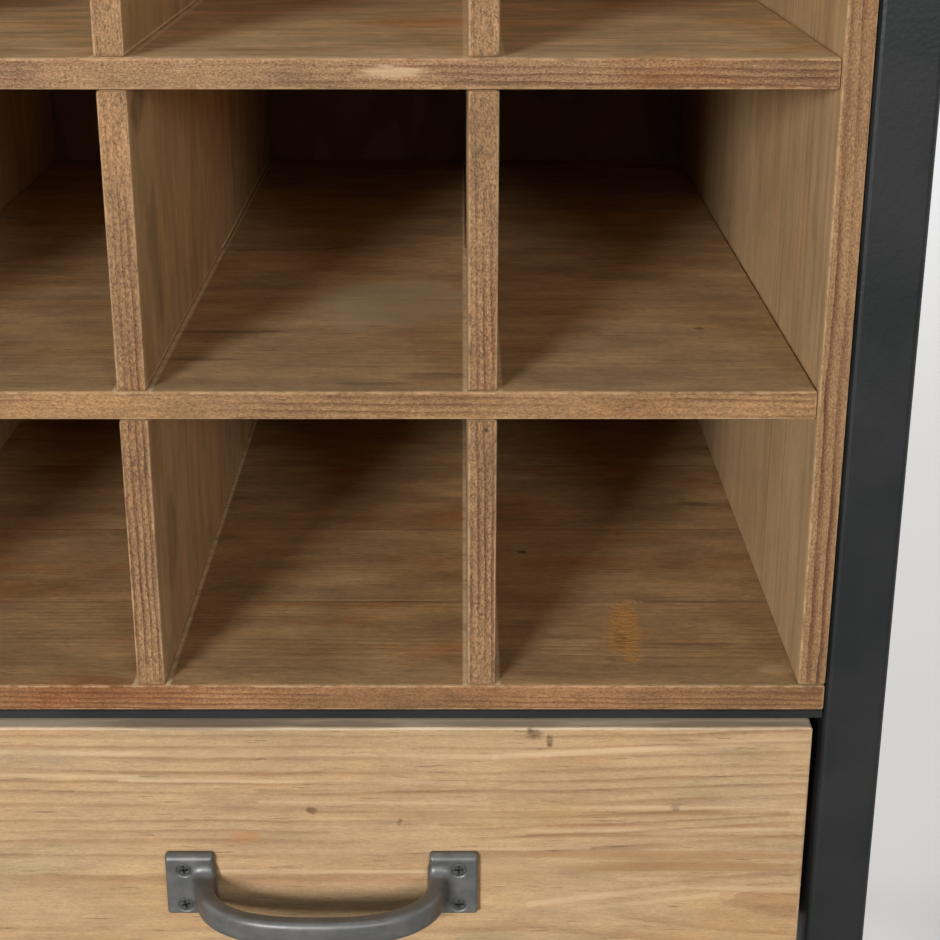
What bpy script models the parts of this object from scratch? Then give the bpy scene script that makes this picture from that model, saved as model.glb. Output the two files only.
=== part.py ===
"""Bar cabinet: a fir bottle rack over one drawer, held by a frame of square steel tube.

Metres, +Z up. The cabinet stands on z = 0, its front faces -Y, and the origin lies
under the middle of its bounding box. The rack is an egg crate: each shelf is slotted
from the back, each divider from the front, so the shelves run unbroken across the front.
The drawer rides on two telescopic slides of three nested members each.
"""

import math

import bmesh
import bpy
from mathutils import Vector

# Clearance between pieces that touch or pass through each other
GAP = 0.0003

# Bottle rack
COLUMNS = 3
ROWS = 5
CELL_WIDTH = 0.098
CELL_HEIGHT = 0.091
BOARD = 0.009
RACK_DEPTH = 0.375
BACK_THICK = 0.004
EDGE_ROUND = 0.0008
BACK_EDGE_ROUND = 0.0003

# Steel frame
STEEL_SETBACK = 0.0005
TUBE_SIZE = 0.020
TUBE_WALL = 0.0015
TUBE_CORNER = 0.002
STEEL_BAR = 0.003
STEEL_EDGE = 0.0004
ANGLE_DROP = 0.020
LEG_CLEARANCE = 0.160
GLIDE_FLANGE = 0.004
GLIDE_PLUG = 0.015
GLIDE_EDGE = 0.001

# Top board
TOP_THICK = 0.020
TOP_OVERHANG = 0.0017
TOP_EDGE_ROUND = 0.0015

# Drawer
FRONT_HEIGHT = 0.118
FRONT_THICK = 0.018
FRONT_REVEAL = 0.0032
FRONT_BACK_ROOM = 0.004
DRAWER_BOARD = 0.012
DRAWER_LIFT = 0.010
DRAWER_HEADROOM = 0.003
DRAWER_REAR_ROOM = 0.010
BOTTOM_THICK = 0.004
GROOVE_DEPTH = 0.005
GROOVE_LIFT = 0.010

# Telescopic slides
SLIDE_HEIGHT = 0.045
SLIDE_SPACE = 0.0127
SLIDE_STEEL = 0.0012
SLIDE_PLAY = 0.0005
SLIDE_LAP = 0.0015
SLIDE_START = 0.002
SLIDE_STEP = 0.004
SLIDE_EDGE = 0.0002

# Drawer pull
PULL_SPAN = 0.1048
PULL_REACH = 0.0314
PLATE_WIDTH = 0.016
PLATE_HEIGHT = 0.023
PLATE_RISE = 0.0011
PLATE_THICK = 0.003
PLATE_CORNER = 0.0012
PLATE_EDGE = 0.0008
BOW_THICK = 0.006
BOW_HEIGHT = 0.009
BOW_POWER = 2.4
BOW_SECTION_POWER = 2.6
BOW_FLARE = 0.55
BOW_FLARE_LENGTH = 0.005
BOW_STEPS = 28
BOW_SIDES = 14

# Screws of the pull
PULL_SCREW_SPACING = 0.0135
PULL_SCREW_EDGE = 0.0062
PULL_SCREW_HEAD = 0.0050
PULL_SCREW_SHANK = 0.0028
PULL_SCREW_LENGTH = 0.016

# Screws of the rack and the top board
FIXING_HEAD = 0.0068
FIXING_SHANK = 0.0035
RACK_SCREW_BITE = 0.0065
TOP_SCREW_BITE = 0.015
PAN_HEIGHT = 0.0024
SCREW_SIDES = 16

# Sizes worked out from the ones above
rack_width = COLUMNS * CELL_WIDTH + (COLUMNS + 1) * BOARD
rack_height = ROWS * CELL_HEIGHT + (ROWS + 1) * BOARD
body_depth = RACK_DEPTH + BACK_THICK + 2 * GAP
angle_width = FRONT_THICK + FRONT_BACK_ROOM - STEEL_SETBACK + STEEL_BAR

# Across
post_inner = rack_width / 2 + GAP
post_outer = post_inner + TUBE_SIZE
post_middle = (post_inner + post_outer) / 2
drawer_outer = post_inner - SLIDE_SPACE
drawer_inner = drawer_outer - DRAWER_BOARD

# Front to back
front_y = PULL_REACH - (PULL_REACH + body_depth) / 2
back_y = front_y + body_depth
rack_back = front_y + RACK_DEPTH
steel_front = front_y + STEEL_SETBACK
front_back_y = front_y + FRONT_THICK
slide_front = front_back_y + SLIDE_START
slide_back = back_y - TUBE_SIZE / 2
side_back = slide_back - DRAWER_REAR_ROOM

# Upwards
lower_top = LEG_CLEARANCE + TUBE_SIZE
front_bottom = lower_top + FRONT_REVEAL
front_top = front_bottom + FRONT_HEIGHT
ring_bottom = front_top + FRONT_REVEAL
ring_top = ring_bottom + STEEL_BAR
rack_bottom_z = ring_top + GAP
rack_top_z = rack_bottom_z + rack_height
top_ring_bottom = rack_top_z + GAP
top_ring_top = top_ring_bottom + STEEL_BAR
top_bottom = top_ring_top + GAP
side_bottom = front_bottom + DRAWER_LIFT
side_top = ring_top - ANGLE_DROP - DRAWER_HEADROOM
slide_z = (side_bottom + side_top) / 2
groove_bottom = side_bottom + GROOVE_LIFT
groove_top = groove_bottom + BOTTOM_THICK + 2 * GAP
pull_z = (front_bottom + front_top) / 2


def finish(name, colour, roughness, metallic):
    """A plain material in one finish."""
    made = bpy.data.materials.new(name)
    made.use_nodes = True
    shader = made.node_tree.nodes["Principled BSDF"]
    shader.inputs["Base Color"].default_value = (*colour, 1.0)
    shader.inputs["Roughness"].default_value = roughness
    shader.inputs["Metallic"].default_value = metallic
    return made


def add_empty(name, location):
    """A mark that pieces hang from, which has no solid of its own."""
    empty = bpy.data.objects.new(name, None)
    empty.location = location
    bpy.context.scene.collection.objects.link(empty)
    return empty


def add_object(name, mesh, material, parent):
    """Links the mesh as a named object, with its origin in the middle of its box."""
    points = [vertex.co.copy() for vertex in mesh.vertices]
    low = Vector(min(point[axis] for point in points) for axis in range(3))
    high = Vector(max(point[axis] for point in points) for axis in range(3))
    middle = (low + high) / 2
    for vertex in mesh.vertices:
        vertex.co -= middle
    made = bpy.data.objects.new(name, mesh)
    made.location = middle - parent.location
    made.parent = parent
    made.data.materials.append(material)
    bpy.context.scene.collection.objects.link(made)
    return made


def mesh_of(name, shape):
    """Turns a bmesh into a mesh with its faces pointing out and its round faces smooth."""
    bmesh.ops.recalc_face_normals(shape, faces=shape.faces)
    mesh = bpy.data.meshes.new(name)
    shape.to_mesh(mesh)
    shape.free()
    mesh.shade_smooth()
    mesh.set_sharp_from_angle(angle=math.radians(35))
    return mesh


def extruded_mesh(name, outline, axis, low, high):
    """An outline in the two other axes, in X, Y, Z order, drawn out along one axis."""
    shape = bmesh.new()
    corners = []
    for first, second in outline:
        place = [first, second]
        place.insert(axis, low)
        corners.append(shape.verts.new(place))
    face = shape.faces.new(corners)
    grown = bmesh.ops.extrude_face_region(shape, geom=[face])["geom"]
    shift = Vector((0, 0, 0))
    shift[axis] = high - low
    moved = [item for item in grown if isinstance(item, bmesh.types.BMVert)]
    bmesh.ops.translate(shape, vec=shift, verts=moved)
    return mesh_of(name, shape)


def lofted_mesh(name, loops, closed=False):
    """Loops of equal count joined by quads. A closed one is a ring of loops, without caps."""
    shape = bmesh.new()
    rings = [[shape.verts.new(point) for point in loop] for loop in loops]
    count = len(rings[0])
    pairs = list(zip(rings, rings[1:]))
    if closed:
        pairs.append((rings[-1], rings[0]))
    else:
        shape.faces.new(rings[0])
        shape.faces.new(rings[-1])
    for one, other in pairs:
        for i in range(count):
            j = (i + 1) % count
            shape.faces.new((one[i], one[j], other[j], other[i]))
    return mesh_of(name, shape)


def rounded(target, width, segments=2):
    """Rounds every sharp edge of a piece."""
    bevel = target.modifiers.new("rounded edges", "BEVEL")
    bevel.width = width
    bevel.segments = segments
    bevel.limit_method = "ANGLE"
    bevel.angle_limit = math.radians(35)
    return target


def rectangle(low, high):
    """The four corners of a rectangle from its lowest to its highest corner."""
    return [low, (high[0], low[1]), high, (low[0], high[1])]


def box(name, low, high, material, parent, edge, segments=2):
    """A board or a bar between two corners."""
    outline = rectangle((low[0], low[1]), (high[0], high[1]))
    mesh = extruded_mesh(name, outline, 2, low[2], high[2])
    return rounded(add_object(name, mesh, material, parent), edge, segments)


def circle(radius, z, sides):
    """Points round the Z axis at one height."""
    turn = 2 * math.pi / sides
    return [(radius * math.cos(turn * i), radius * math.sin(turn * i), z) for i in range(sides)]


def turned_mesh(name, profile, sides=SCREW_SIDES):
    """A solid of revolution about Z, from (height, radius) pairs."""
    return lofted_mesh(name, [circle(radius, z, sides) for z, radius in profile])


def rounded_square(size, corner, steps=3):
    """The outline of a square with round corners, about its middle."""
    reach = size / 2 - corner
    points = []
    for quarter in range(4):
        middle = math.radians(45 + 90 * quarter)
        centre = (math.copysign(reach, math.cos(middle)), math.copysign(reach, math.sin(middle)))
        for i in range(steps + 1):
            angle = math.radians(90 * quarter + 90 * i / steps)
            points.append((centre[0] + corner * math.cos(angle), centre[1] + corner * math.sin(angle)))
    return points


def tube(name, length, middle, axis, parent):
    """A length of hollow square tube, open at both ends, along one axis."""
    outer = rounded_square(TUBE_SIZE, TUBE_CORNER)
    inner = rounded_square(TUBE_SIZE - 2 * TUBE_WALL, max(TUBE_CORNER - TUBE_WALL, STEEL_EDGE))
    half = length / 2
    loops = [
        [(x, y, -half) for x, y in outer],
        [(x, y, half) for x, y in outer],
        [(x, y, half) for x, y in inner],
        [(x, y, -half) for x, y in inner],
    ]
    made = bpy.data.objects.new(name, lofted_mesh(name, loops, closed=True))
    made.data.materials.append(black_steel)
    turns = {"X": (0, math.pi / 2, 0), "Y": (math.pi / 2, 0, 0), "Z": (0, 0, 0)}
    made.rotation_euler = turns[axis]
    made.location = Vector(middle) - parent.location
    made.parent = parent
    bpy.context.scene.collection.objects.link(made)
    return made


def cutter(name, mesh, location, rotation):
    """A hidden shape that a Boolean reads."""
    made = bpy.data.objects.new(name, mesh)
    made.location = location
    made.rotation_euler = rotation
    made.hide_render = True
    made.display_type = "WIRE"
    bpy.context.scene.collection.objects.link(made)
    return made


def cut(target, other, operation="DIFFERENCE"):
    """Takes the other shape out of the target, or joins it on."""
    step = target.modifiers.new(other.name, "BOOLEAN")
    step.operation = operation
    step.solver = "EXACT"
    step.object = other


def cross_outline(arm, width, z):
    """The twelve corners of a plus sign at one height."""
    points = []
    for quarter in range(4):
        angle = math.pi / 2 * quarter
        along = Vector((math.cos(angle), math.sin(angle)))
        aside = Vector((-along.y, along.x))
        for corner in (arm * along - width / 2 * aside, arm * along + width / 2 * aside,
                       width / 2 * along + width / 2 * aside):
            points.append((corner.x, corner.y, z))
    return points


def screw_mesh(name, profile, head_top, head):
    """A turned screw with a cross recess sunk in its head."""
    above = head_top + 0.1 * head
    below = head_top - 0.22 * head
    recess = lofted_mesh(name + " recess", [
        cross_outline(0.16 * head, 0.07 * head, below),
        cross_outline(0.32 * head, 0.12 * head, above),
    ])
    blank = cutter(name + " blank", turned_mesh(name + " blank", profile), (0, 0, 0), (0, 0, 0))
    driver = cutter(name + " driver", recess, (0, 0, 0), (0, 0, 0))
    cut(blank, driver)
    graph = bpy.context.evaluated_depsgraph_get()
    mesh = bpy.data.meshes.new_from_object(blank.evaluated_get(graph))
    for helper in (blank, driver):
        bpy.data.objects.remove(helper, do_unlink=True)
    mesh.name = name
    mesh.shade_smooth()
    mesh.set_sharp_from_angle(angle=math.radians(35))
    return mesh


def countersunk_profile(head, shank, length, grow=0.0):
    """A flat-headed screw from its tip up to its head's top at z = 0."""
    head_deep = (head - shank) / 2
    rim = 0.08 * head
    if grow:
        return [
            (-length - grow, shank / 2 + grow),
            (-head_deep - rim - grow, shank / 2 + grow),
            (-rim - grow, head / 2 + grow),
            (length, head / 2 + grow),
        ]
    return [
        (-length, 0.12 * shank),
        (-length + 0.9 * shank, shank / 2),
        (-head_deep - rim, shank / 2),
        (-rim, head / 2),
        (0, head / 2),
    ]


def pan_profile(head, shank, length):
    """A round-headed screw from its tip up, with its head's underside at z = 0."""
    return [
        (-length, 0.12 * shank),
        (-length + 0.9 * shank, shank / 2),
        (0, shank / 2),
        (0, head / 2),
        (0.5 * PAN_HEIGHT, head / 2),
        (0.85 * PAN_HEIGHT, 0.42 * head),
        (PAN_HEIGHT, 0.3 * head),
    ]


def screw(name, mesh, location, rotation, material, parent):
    """One screw of a set that shares its mesh."""
    made = bpy.data.objects.new(name, mesh)
    made.location = Vector(location) - parent.location
    made.rotation_euler = rotation
    made.parent = parent
    if not mesh.materials:
        mesh.materials.append(material)
    bpy.context.scene.collection.objects.link(made)
    return made


def shelf_underside(level):
    """The lower face of the level-th shelf, counted from the rack's bottom board."""
    return rack_bottom_z + level * (BOARD + CELL_HEIGHT)


def divider_left_face(place):
    """The left face of the place-th upright, counted from the rack's left side."""
    return -rack_width / 2 + place * (BOARD + CELL_WIDTH)


def make_shelf(level):
    """A shelf between the rack sides, slotted from the back for each divider."""
    reach = rack_width / 2 - BOARD - GAP
    slot_y = front_y + RACK_DEPTH / 2 - GAP / 2
    outline = [(-reach, front_y), (reach, front_y), (reach, rack_back)]
    for place in reversed(range(1, COLUMNS)):
        left = divider_left_face(place) - GAP
        right = divider_left_face(place) + BOARD + GAP
        outline += [(right, rack_back), (right, slot_y), (left, slot_y), (left, rack_back)]
    outline.append((-reach, rack_back))
    name = f"shelf_{level}"
    low = shelf_underside(level)
    mesh = extruded_mesh(name, outline, 2, low, low + BOARD)
    return rounded(add_object(name, mesh, fir_brown, cabinet), EDGE_ROUND)


def make_divider(place, name):
    """An upright between the rack's bottom and top, slotted from the front for each shelf."""
    low = rack_bottom_z + BOARD + GAP
    high = rack_top_z - BOARD - GAP
    slot_y = front_y + RACK_DEPTH / 2 + GAP / 2
    outline = [(front_y, low), (rack_back, low), (rack_back, high), (front_y, high)]
    for level in reversed(range(1, ROWS)):
        bottom = shelf_underside(level) - GAP
        top = shelf_underside(level) + BOARD + GAP
        outline += [(front_y, top), (slot_y, top), (slot_y, bottom), (front_y, bottom)]
    left = divider_left_face(place)
    mesh = extruded_mesh(name, outline, 0, left, left + BOARD)
    return rounded(add_object(name, mesh, fir_brown, cabinet), EDGE_ROUND)


def make_rack():
    """The crate of boards, its back panel and the screws that hold it down."""
    half = rack_width / 2
    bottom_top = rack_bottom_z + BOARD
    top_under = rack_top_z - BOARD
    bottom = box("rack_bottom", (-half, front_y, rack_bottom_z), (half, rack_back, bottom_top),
                 fir_brown, cabinet, EDGE_ROUND)
    box("rack_top", (-half, front_y, top_under), (half, rack_back, rack_top_z),
        fir_brown, cabinet, EDGE_ROUND)
    for side, name in ((-1, "rack_side_left"), (1, "rack_side_right")):
        near, far = sorted((side * (half - BOARD), side * half))
        box(name, (near, front_y, bottom_top + GAP), (far, rack_back, top_under - GAP),
            fir_brown, cabinet, EDGE_ROUND)
    for level in range(1, ROWS):
        make_shelf(level)
    names = ("divider_left", "divider_right")
    for place in range(1, COLUMNS):
        name = names[place - 1] if COLUMNS == 3 else f"divider_{place}"
        make_divider(place, name)
    box("back_panel", (-half, rack_back + GAP, rack_bottom_z),
        (half, rack_back + GAP + BACK_THICK, rack_top_z), plywood, cabinet, BACK_EDGE_ROUND, 1)
    return bottom


def make_drawer_bay():
    """The boards that close the drawer's bay, at the sides between the posts and at the back."""
    low = lower_top + GAP
    high = ring_top - TUBE_SIZE - GAP
    front = steel_front + TUBE_SIZE + GAP
    back = back_y - TUBE_SIZE - GAP
    for side, word in ((-1, "left"), (1, "right")):
        near, far = sorted((side * (post_middle - BOARD / 2), side * (post_middle + BOARD / 2)))
        box(f"bay_side_{word}", (near, front, low), (far, back, high), fir_brown, cabinet, EDGE_ROUND)
    reach = post_inner - GAP
    panel_back = back_y - STEEL_BAR - GAP
    box("bay_back", (-reach, panel_back - BACK_THICK, low), (reach, panel_back, ring_bottom - GAP),
        plywood, cabinet, BACK_EDGE_ROUND, 1)


def angle_outline(face_y, inward, low_leg):
    """An L in Y and Z: a flat leg on top, its free edge at face_y or its heel there."""
    heel = face_y + inward * angle_width
    near, far = (face_y, heel) if low_leg == "far" else (heel, face_y)
    return [
        (near, ring_top),
        (near, ring_bottom),
        (far - STEEL_BAR, ring_bottom),
        (far - STEEL_BAR, ring_top - ANGLE_DROP),
        (far, ring_top - ANGLE_DROP),
        (far, ring_top),
    ]


def make_posts():
    """Four corner tubes, each with a plastic glide plugged into its foot."""
    low = GLIDE_FLANGE + GAP
    high = top_ring_bottom - GAP
    front = steel_front + TUBE_SIZE / 2
    back = back_y - TUBE_SIZE / 2
    plug = TUBE_SIZE - 2 * TUBE_WALL - 2 * GAP
    for end, y in (("front", front), ("back", back)):
        for side, x in (("left", -post_middle), ("right", post_middle)):
            tube(f"post_{end}_{side}", high - low, (x, y, (low + high) / 2), "Z", cabinet)
            foot = rounded_square(TUBE_SIZE, TUBE_CORNER)
            sole = rounded_square(TUBE_SIZE - 2 * GLIDE_EDGE, TUBE_CORNER - GLIDE_EDGE / 2)
            stem = rounded_square(plug, STEEL_EDGE)
            tip = rounded_square(plug - GLIDE_EDGE, STEEL_EDGE)
            loops = [
                [(x + a, y + b, 0) for a, b in sole],
                [(x + a, y + b, GLIDE_EDGE) for a, b in foot],
                [(x + a, y + b, GLIDE_FLANGE) for a, b in foot],
                [(x + a, y + b, GLIDE_FLANGE) for a, b in stem],
                [(x + a, y + b, GLIDE_FLANGE + GLIDE_PLUG - GLIDE_EDGE) for a, b in stem],
                [(x + a, y + b, GLIDE_FLANGE + GLIDE_PLUG) for a, b in tip],
            ]
            name = f"foot_glide_{end}_{side}"
            add_object(name, lofted_mesh(name, loops), black_plastic, cabinet)


def make_rails():
    """The lower ring of tubes, the middle ring of angles and tubes, the top ring of flat bars."""
    half = post_inner - GAP
    run_front = steel_front + TUBE_SIZE + GAP
    run_back = back_y - TUBE_SIZE - GAP
    run = run_back - run_front
    run_middle = (run_front + run_back) / 2
    lower_z = LEG_CLEARANCE + TUBE_SIZE / 2
    tube("lower_rail_front", 2 * half, (0, steel_front + TUBE_SIZE / 2, lower_z), "X", cabinet)
    tube("lower_rail_back", 2 * half, (0, back_y - TUBE_SIZE / 2, lower_z), "X", cabinet)
    for side, x in (("left", -post_middle), ("right", post_middle)):
        tube(f"lower_rail_{side}", run, (x, run_middle, lower_z), "Y", cabinet)
        tube(f"middle_rail_{side}", run, (x, run_middle, ring_top - TUBE_SIZE / 2), "Y", cabinet)

    angles = {}
    for name, outline in (
        ("middle_rail_front", angle_outline(steel_front, 1, "far")),
        ("middle_rail_back", angle_outline(back_y, -1, "near")),
    ):
        mesh = extruded_mesh(name, outline, 0, -half, half)
        angles[name] = rounded(add_object(name, mesh, black_steel, cabinet), STEEL_EDGE, 1)

    bars = {}
    for name, low, high in (
        ("top_rail_front", (-post_outer, steel_front), (post_outer, steel_front + TUBE_SIZE)),
        ("top_rail_back", (-post_outer, back_y - TUBE_SIZE), (post_outer, back_y)),
        ("top_rail_left", (-post_outer, run_front), (-post_inner, run_back)),
        ("top_rail_right", (post_inner, run_front), (post_outer, run_back)),
    ):
        bars[name] = box(name, (*low, top_ring_bottom), (*high, top_ring_top),
                         black_steel, cabinet, STEEL_EDGE, 1)
    return angles, bars


def fix_rack(bottom, angles):
    """Four flat-headed screws, up through the middle rails into the rack's bottom board."""
    length = STEEL_BAR + GAP + RACK_SCREW_BITE
    mesh = screw_mesh("rack screw", countersunk_profile(FIXING_HEAD, FIXING_SHANK, length),
                      0, FIXING_HEAD)
    hole = turned_mesh("rack screw hole",
                       countersunk_profile(FIXING_HEAD, FIXING_SHANK, length, GAP))
    flip = (math.pi, 0, 0)
    front = steel_front + (angle_width - STEEL_BAR) / 2
    back = (back_y - angle_width + rack_back) / 2
    for end, y, rail in (("front", front, "middle_rail_front"), ("back", back, "middle_rail_back")):
        for side, x in (("left", -rack_width / 3), ("right", rack_width / 3)):
            name = f"rack_screw_{end}_{side}"
            place = (x, y, ring_bottom + GAP)
            drill = cutter(name + " hole", hole, place, flip)
            cut(angles[rail], drill)
            cut(bottom, drill)
            screw(name, mesh, place, flip, dark_screw, cabinet)


def make_top(bars):
    """The top board, and the round-headed screws that hold it down to the side bars."""
    reach = post_outer + TOP_OVERHANG
    board = box("top_board", (-reach, front_y, top_bottom), (reach, back_y, top_bottom + TOP_THICK),
                fir_brown, cabinet, TOP_EDGE_ROUND)
    length = STEEL_BAR + 2 * GAP + TOP_SCREW_BITE
    mesh = screw_mesh("top screw", pan_profile(FIXING_HEAD, FIXING_SHANK, length),
                      PAN_HEIGHT, FIXING_HEAD)
    shank = FIXING_SHANK / 2 + GAP
    hole = turned_mesh("top screw hole", [(-length - GAP, shank), (2 * PAN_HEIGHT, shank)])
    flip = (math.pi, 0, 0)
    quarter = body_depth / 4
    for end, y in (("front", front_y + quarter), ("back", back_y - quarter)):
        for side, x in (("left", -post_middle), ("right", post_middle)):
            name = f"top_screw_{end}_{side}"
            place = (x, y, top_ring_bottom - GAP)
            drill = cutter(name + " hole", hole, place, flip)
            cut(bars[f"top_rail_{side}"], drill)
            cut(board, drill)
            screw(name, mesh, place, flip, dark_screw, cabinet)


def channel(name, side, web, tip, reach, y_low, y_high, parent):
    """A C-shaped slide member. web and tip are distances inward from the post's face."""
    inner = reach - SLIDE_STEEL
    step = math.copysign(SLIDE_STEEL, tip - web)
    flat = [(web, -reach), (tip, -reach), (tip, -inner), (web + step, -inner),
            (web + step, inner), (tip, inner), (tip, reach), (web, reach)]
    outline = [(side * (post_inner - u), slide_z + v) for u, v in flat]
    mesh = extruded_mesh(name, outline, 1, y_low, y_high)
    return rounded(add_object(name, mesh, zinc, parent), SLIDE_EDGE, 1)


def make_slides():
    """Two slides of three nested members: one on the posts, one on the drawer, one between."""
    outer_reach = SLIDE_HEIGHT / 2
    middle_reach = outer_reach - SLIDE_STEEL - SLIDE_PLAY
    inner_reach = middle_reach - SLIDE_STEEL - SLIDE_PLAY
    outer_web = GAP
    middle_web = outer_web + SLIDE_STEEL + SLIDE_PLAY
    inner_tip = middle_web + SLIDE_STEEL + SLIDE_PLAY
    inner_web = SLIDE_SPACE - GAP
    middle_tip = inner_web - SLIDE_STEEL - SLIDE_PLAY
    outer_tip = middle_tip - SLIDE_LAP
    for side, word in ((-1, "left"), (1, "right")):
        channel(f"slide_outer_{word}", side, outer_web, outer_tip, outer_reach,
                slide_front, slide_back, cabinet)
        channel(f"slide_middle_{word}", side, middle_web, middle_tip, middle_reach,
                slide_front, slide_back - SLIDE_STEP, slide_middles)
        channel(f"slide_inner_{word}", side, inner_web, inner_tip, inner_reach,
                slide_front, slide_back - 2 * SLIDE_STEP, drawer)


def make_drawer_box():
    """Sides with a groove for the bottom, a back that stands on it, and the bottom itself."""
    for side, word in ((-1, "left"), (1, "right")):
        outer = side * drawer_outer
        inner = side * drawer_inner
        deep = side * (drawer_inner + GROOVE_DEPTH)
        outline = [(outer, side_bottom), (inner, side_bottom), (inner, groove_bottom),
                   (deep, groove_bottom), (deep, groove_top), (inner, groove_top),
                   (inner, side_top), (outer, side_top)]
        name = f"drawer_side_{word}"
        mesh = extruded_mesh(name, outline, 1, front_back_y + GAP, side_back)
        rounded(add_object(name, mesh, fir_pale, drawer), EDGE_ROUND)
    reach = drawer_inner - GAP
    box("drawer_back", (-reach, side_back - DRAWER_BOARD, groove_top),
        (reach, side_back, side_top), fir_pale, drawer, EDGE_ROUND)
    panel = drawer_inner + GROOVE_DEPTH - GAP
    box("drawer_bottom", (-panel, front_back_y - GROOVE_DEPTH + GAP, groove_bottom + GAP),
        (panel, side_back, groove_bottom + GAP + BOTTOM_THICK), plywood, drawer, BACK_EDGE_ROUND, 1)


def make_drawer_front():
    """The front board, with a groove along its back for the drawer's bottom."""
    reach = post_inner - FRONT_REVEAL
    deep = front_back_y - GROOVE_DEPTH
    outline = [(front_y, front_bottom), (front_back_y, front_bottom), (front_back_y, groove_bottom),
               (deep, groove_bottom), (deep, groove_top), (front_back_y, groove_top),
               (front_back_y, front_top), (front_y, front_top)]
    mesh = extruded_mesh("drawer_front", outline, 0, -reach, reach)
    return rounded(add_object("drawer_front", mesh, fir_pale, drawer), EDGE_ROUND)


def power(value, exponent):
    """A power that keeps its sign, for the corners of a squared-off ellipse."""
    return math.copysign(abs(value) ** exponent, value)


def bow_point(turn):
    """The middle line of the pull's bow: X, and its reach out from the drawer front."""
    span = PULL_SPAN / 2 - PLATE_WIDTH + BOW_THICK / 2
    reach = PULL_REACH - BOW_THICK / 2
    return Vector((-span * power(math.cos(turn), 2 / BOW_POWER),
                   reach * power(math.sin(turn), 2 / BOW_POWER)))


def bow_mesh():
    """The grip, swept along half a squared-off ellipse and flared where it meets its plates."""
    root_reach = (PLATE_THICK / 2 + GAP) / (PULL_REACH - BOW_THICK / 2)
    first = math.asin(root_reach ** (BOW_POWER / 2))
    loops = []
    for step in range(BOW_STEPS + 1):
        turn = first + (math.pi - 2 * first) * step / BOW_STEPS
        here = bow_point(turn)
        nudge = 0.001
        along = (bow_point(turn + nudge) - bow_point(turn - nudge)).normalized()
        out = Vector((-along.y, along.x))
        near_root = max(0.0, 1 - (here.y - PLATE_THICK) / BOW_FLARE_LENGTH)
        flare = 1 + BOW_FLARE * near_root ** 2
        loop = []
        for i in range(BOW_SIDES):
            angle = 2 * math.pi * i / BOW_SIDES
            aside = BOW_THICK / 2 * power(math.cos(angle), 2 / BOW_SECTION_POWER)
            above = flare * BOW_HEIGHT / 2 * power(math.sin(angle), 2 / BOW_SECTION_POWER)
            plan = here + aside * out
            loop.append((plan.x, front_y - plan.y, pull_z + above))
        loops.append(loop)
    return lofted_mesh("drawer_pull", loops)


def plate_mesh(name, middle_x):
    """One of the pull's flat plates, standing on the drawer front."""
    half_width = PLATE_WIDTH / 2 - PLATE_CORNER
    half_height = PLATE_HEIGHT / 2 - PLATE_CORNER
    corners = []
    for quarter in range(4):
        middle = math.radians(45 + 90 * quarter)
        centre_x = math.copysign(half_width, math.cos(middle))
        centre_z = math.copysign(half_height, math.sin(middle))
        for i in range(4):
            angle = math.radians(90 * quarter + 30 * i)
            corners.append((centre_x, centre_z, math.cos(angle), math.sin(angle)))
    back = front_y - GAP
    face = back - PLATE_THICK
    loops = []
    for y, radius in ((back, PLATE_CORNER), (face + PLATE_EDGE, PLATE_CORNER),
                      (face + 0.3 * PLATE_EDGE, PLATE_CORNER - 0.3 * PLATE_EDGE),
                      (face, PLATE_CORNER - PLATE_EDGE)):
        loops.append([(middle_x + x + radius * a, y, pull_z + PLATE_RISE + z + radius * b)
                      for x, z, a, b in corners])
    return lofted_mesh(name, loops)


def make_pull(front):
    """The bow pull with its two plates, and four flat-headed screws into the drawer front."""
    pull = add_object("drawer_pull", bow_mesh(), gunmetal, drawer)
    plate_x = PULL_SPAN / 2 - PLATE_WIDTH / 2
    for side, word in ((-1, "left"), (1, "right")):
        name = f"pull plate {word}"
        cut(pull, cutter(name, plate_mesh(name, side * plate_x), (0, 0, 0), (0, 0, 0)), "UNION")
    mesh = screw_mesh("pull screw", countersunk_profile(PULL_SCREW_HEAD, PULL_SCREW_SHANK,
                                                        PULL_SCREW_LENGTH), 0, PULL_SCREW_HEAD)
    hole = turned_mesh("pull screw hole", countersunk_profile(
        PULL_SCREW_HEAD, PULL_SCREW_SHANK, PULL_SCREW_LENGTH, GAP))
    face = front_y - PLATE_THICK
    toward_front = (math.pi / 2, 0, 0)
    screw_x = PULL_SPAN / 2 - PULL_SCREW_EDGE
    for word, x in (("left", -screw_x), ("right", screw_x)):
        for level, rise in (("upper", PULL_SCREW_SPACING / 2), ("lower", -PULL_SCREW_SPACING / 2)):
            name = f"pull_screw_{level}_{word}"
            place = (x, face, pull_z + rise)
            drill = cutter(name + " hole", hole, place, toward_front)
            cut(pull, drill)
            cut(front, drill)
            screw(name, mesh, place, toward_front, dark_screw, drawer)


for old in list(bpy.data.objects):
    bpy.data.objects.remove(old, do_unlink=True)

fir_brown = finish("fir, brown", (0.30, 0.16, 0.07), 0.6, 0.0)
fir_pale = finish("fir, pale", (0.52, 0.35, 0.20), 0.55, 0.0)
plywood = finish("plywood", (0.42, 0.27, 0.14), 0.65, 0.0)
black_steel = finish("black steel", (0.02, 0.02, 0.02), 0.5, 0.0)
gunmetal = finish("gunmetal paint", (0.17, 0.18, 0.19), 0.35, 0.6)
dark_screw = finish("dark screw", (0.10, 0.10, 0.10), 0.4, 0.8)
zinc = finish("zinc plate", (0.55, 0.56, 0.57), 0.35, 1.0)
black_plastic = finish("black plastic", (0.02, 0.02, 0.02), 0.6, 0.0)

cabinet = add_empty("cabinet", (0, 0, 0))
drawer = add_empty("drawer", (0, front_y, slide_z))
slide_middles = add_empty("slide middles", (0, slide_front, slide_z))

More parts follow.
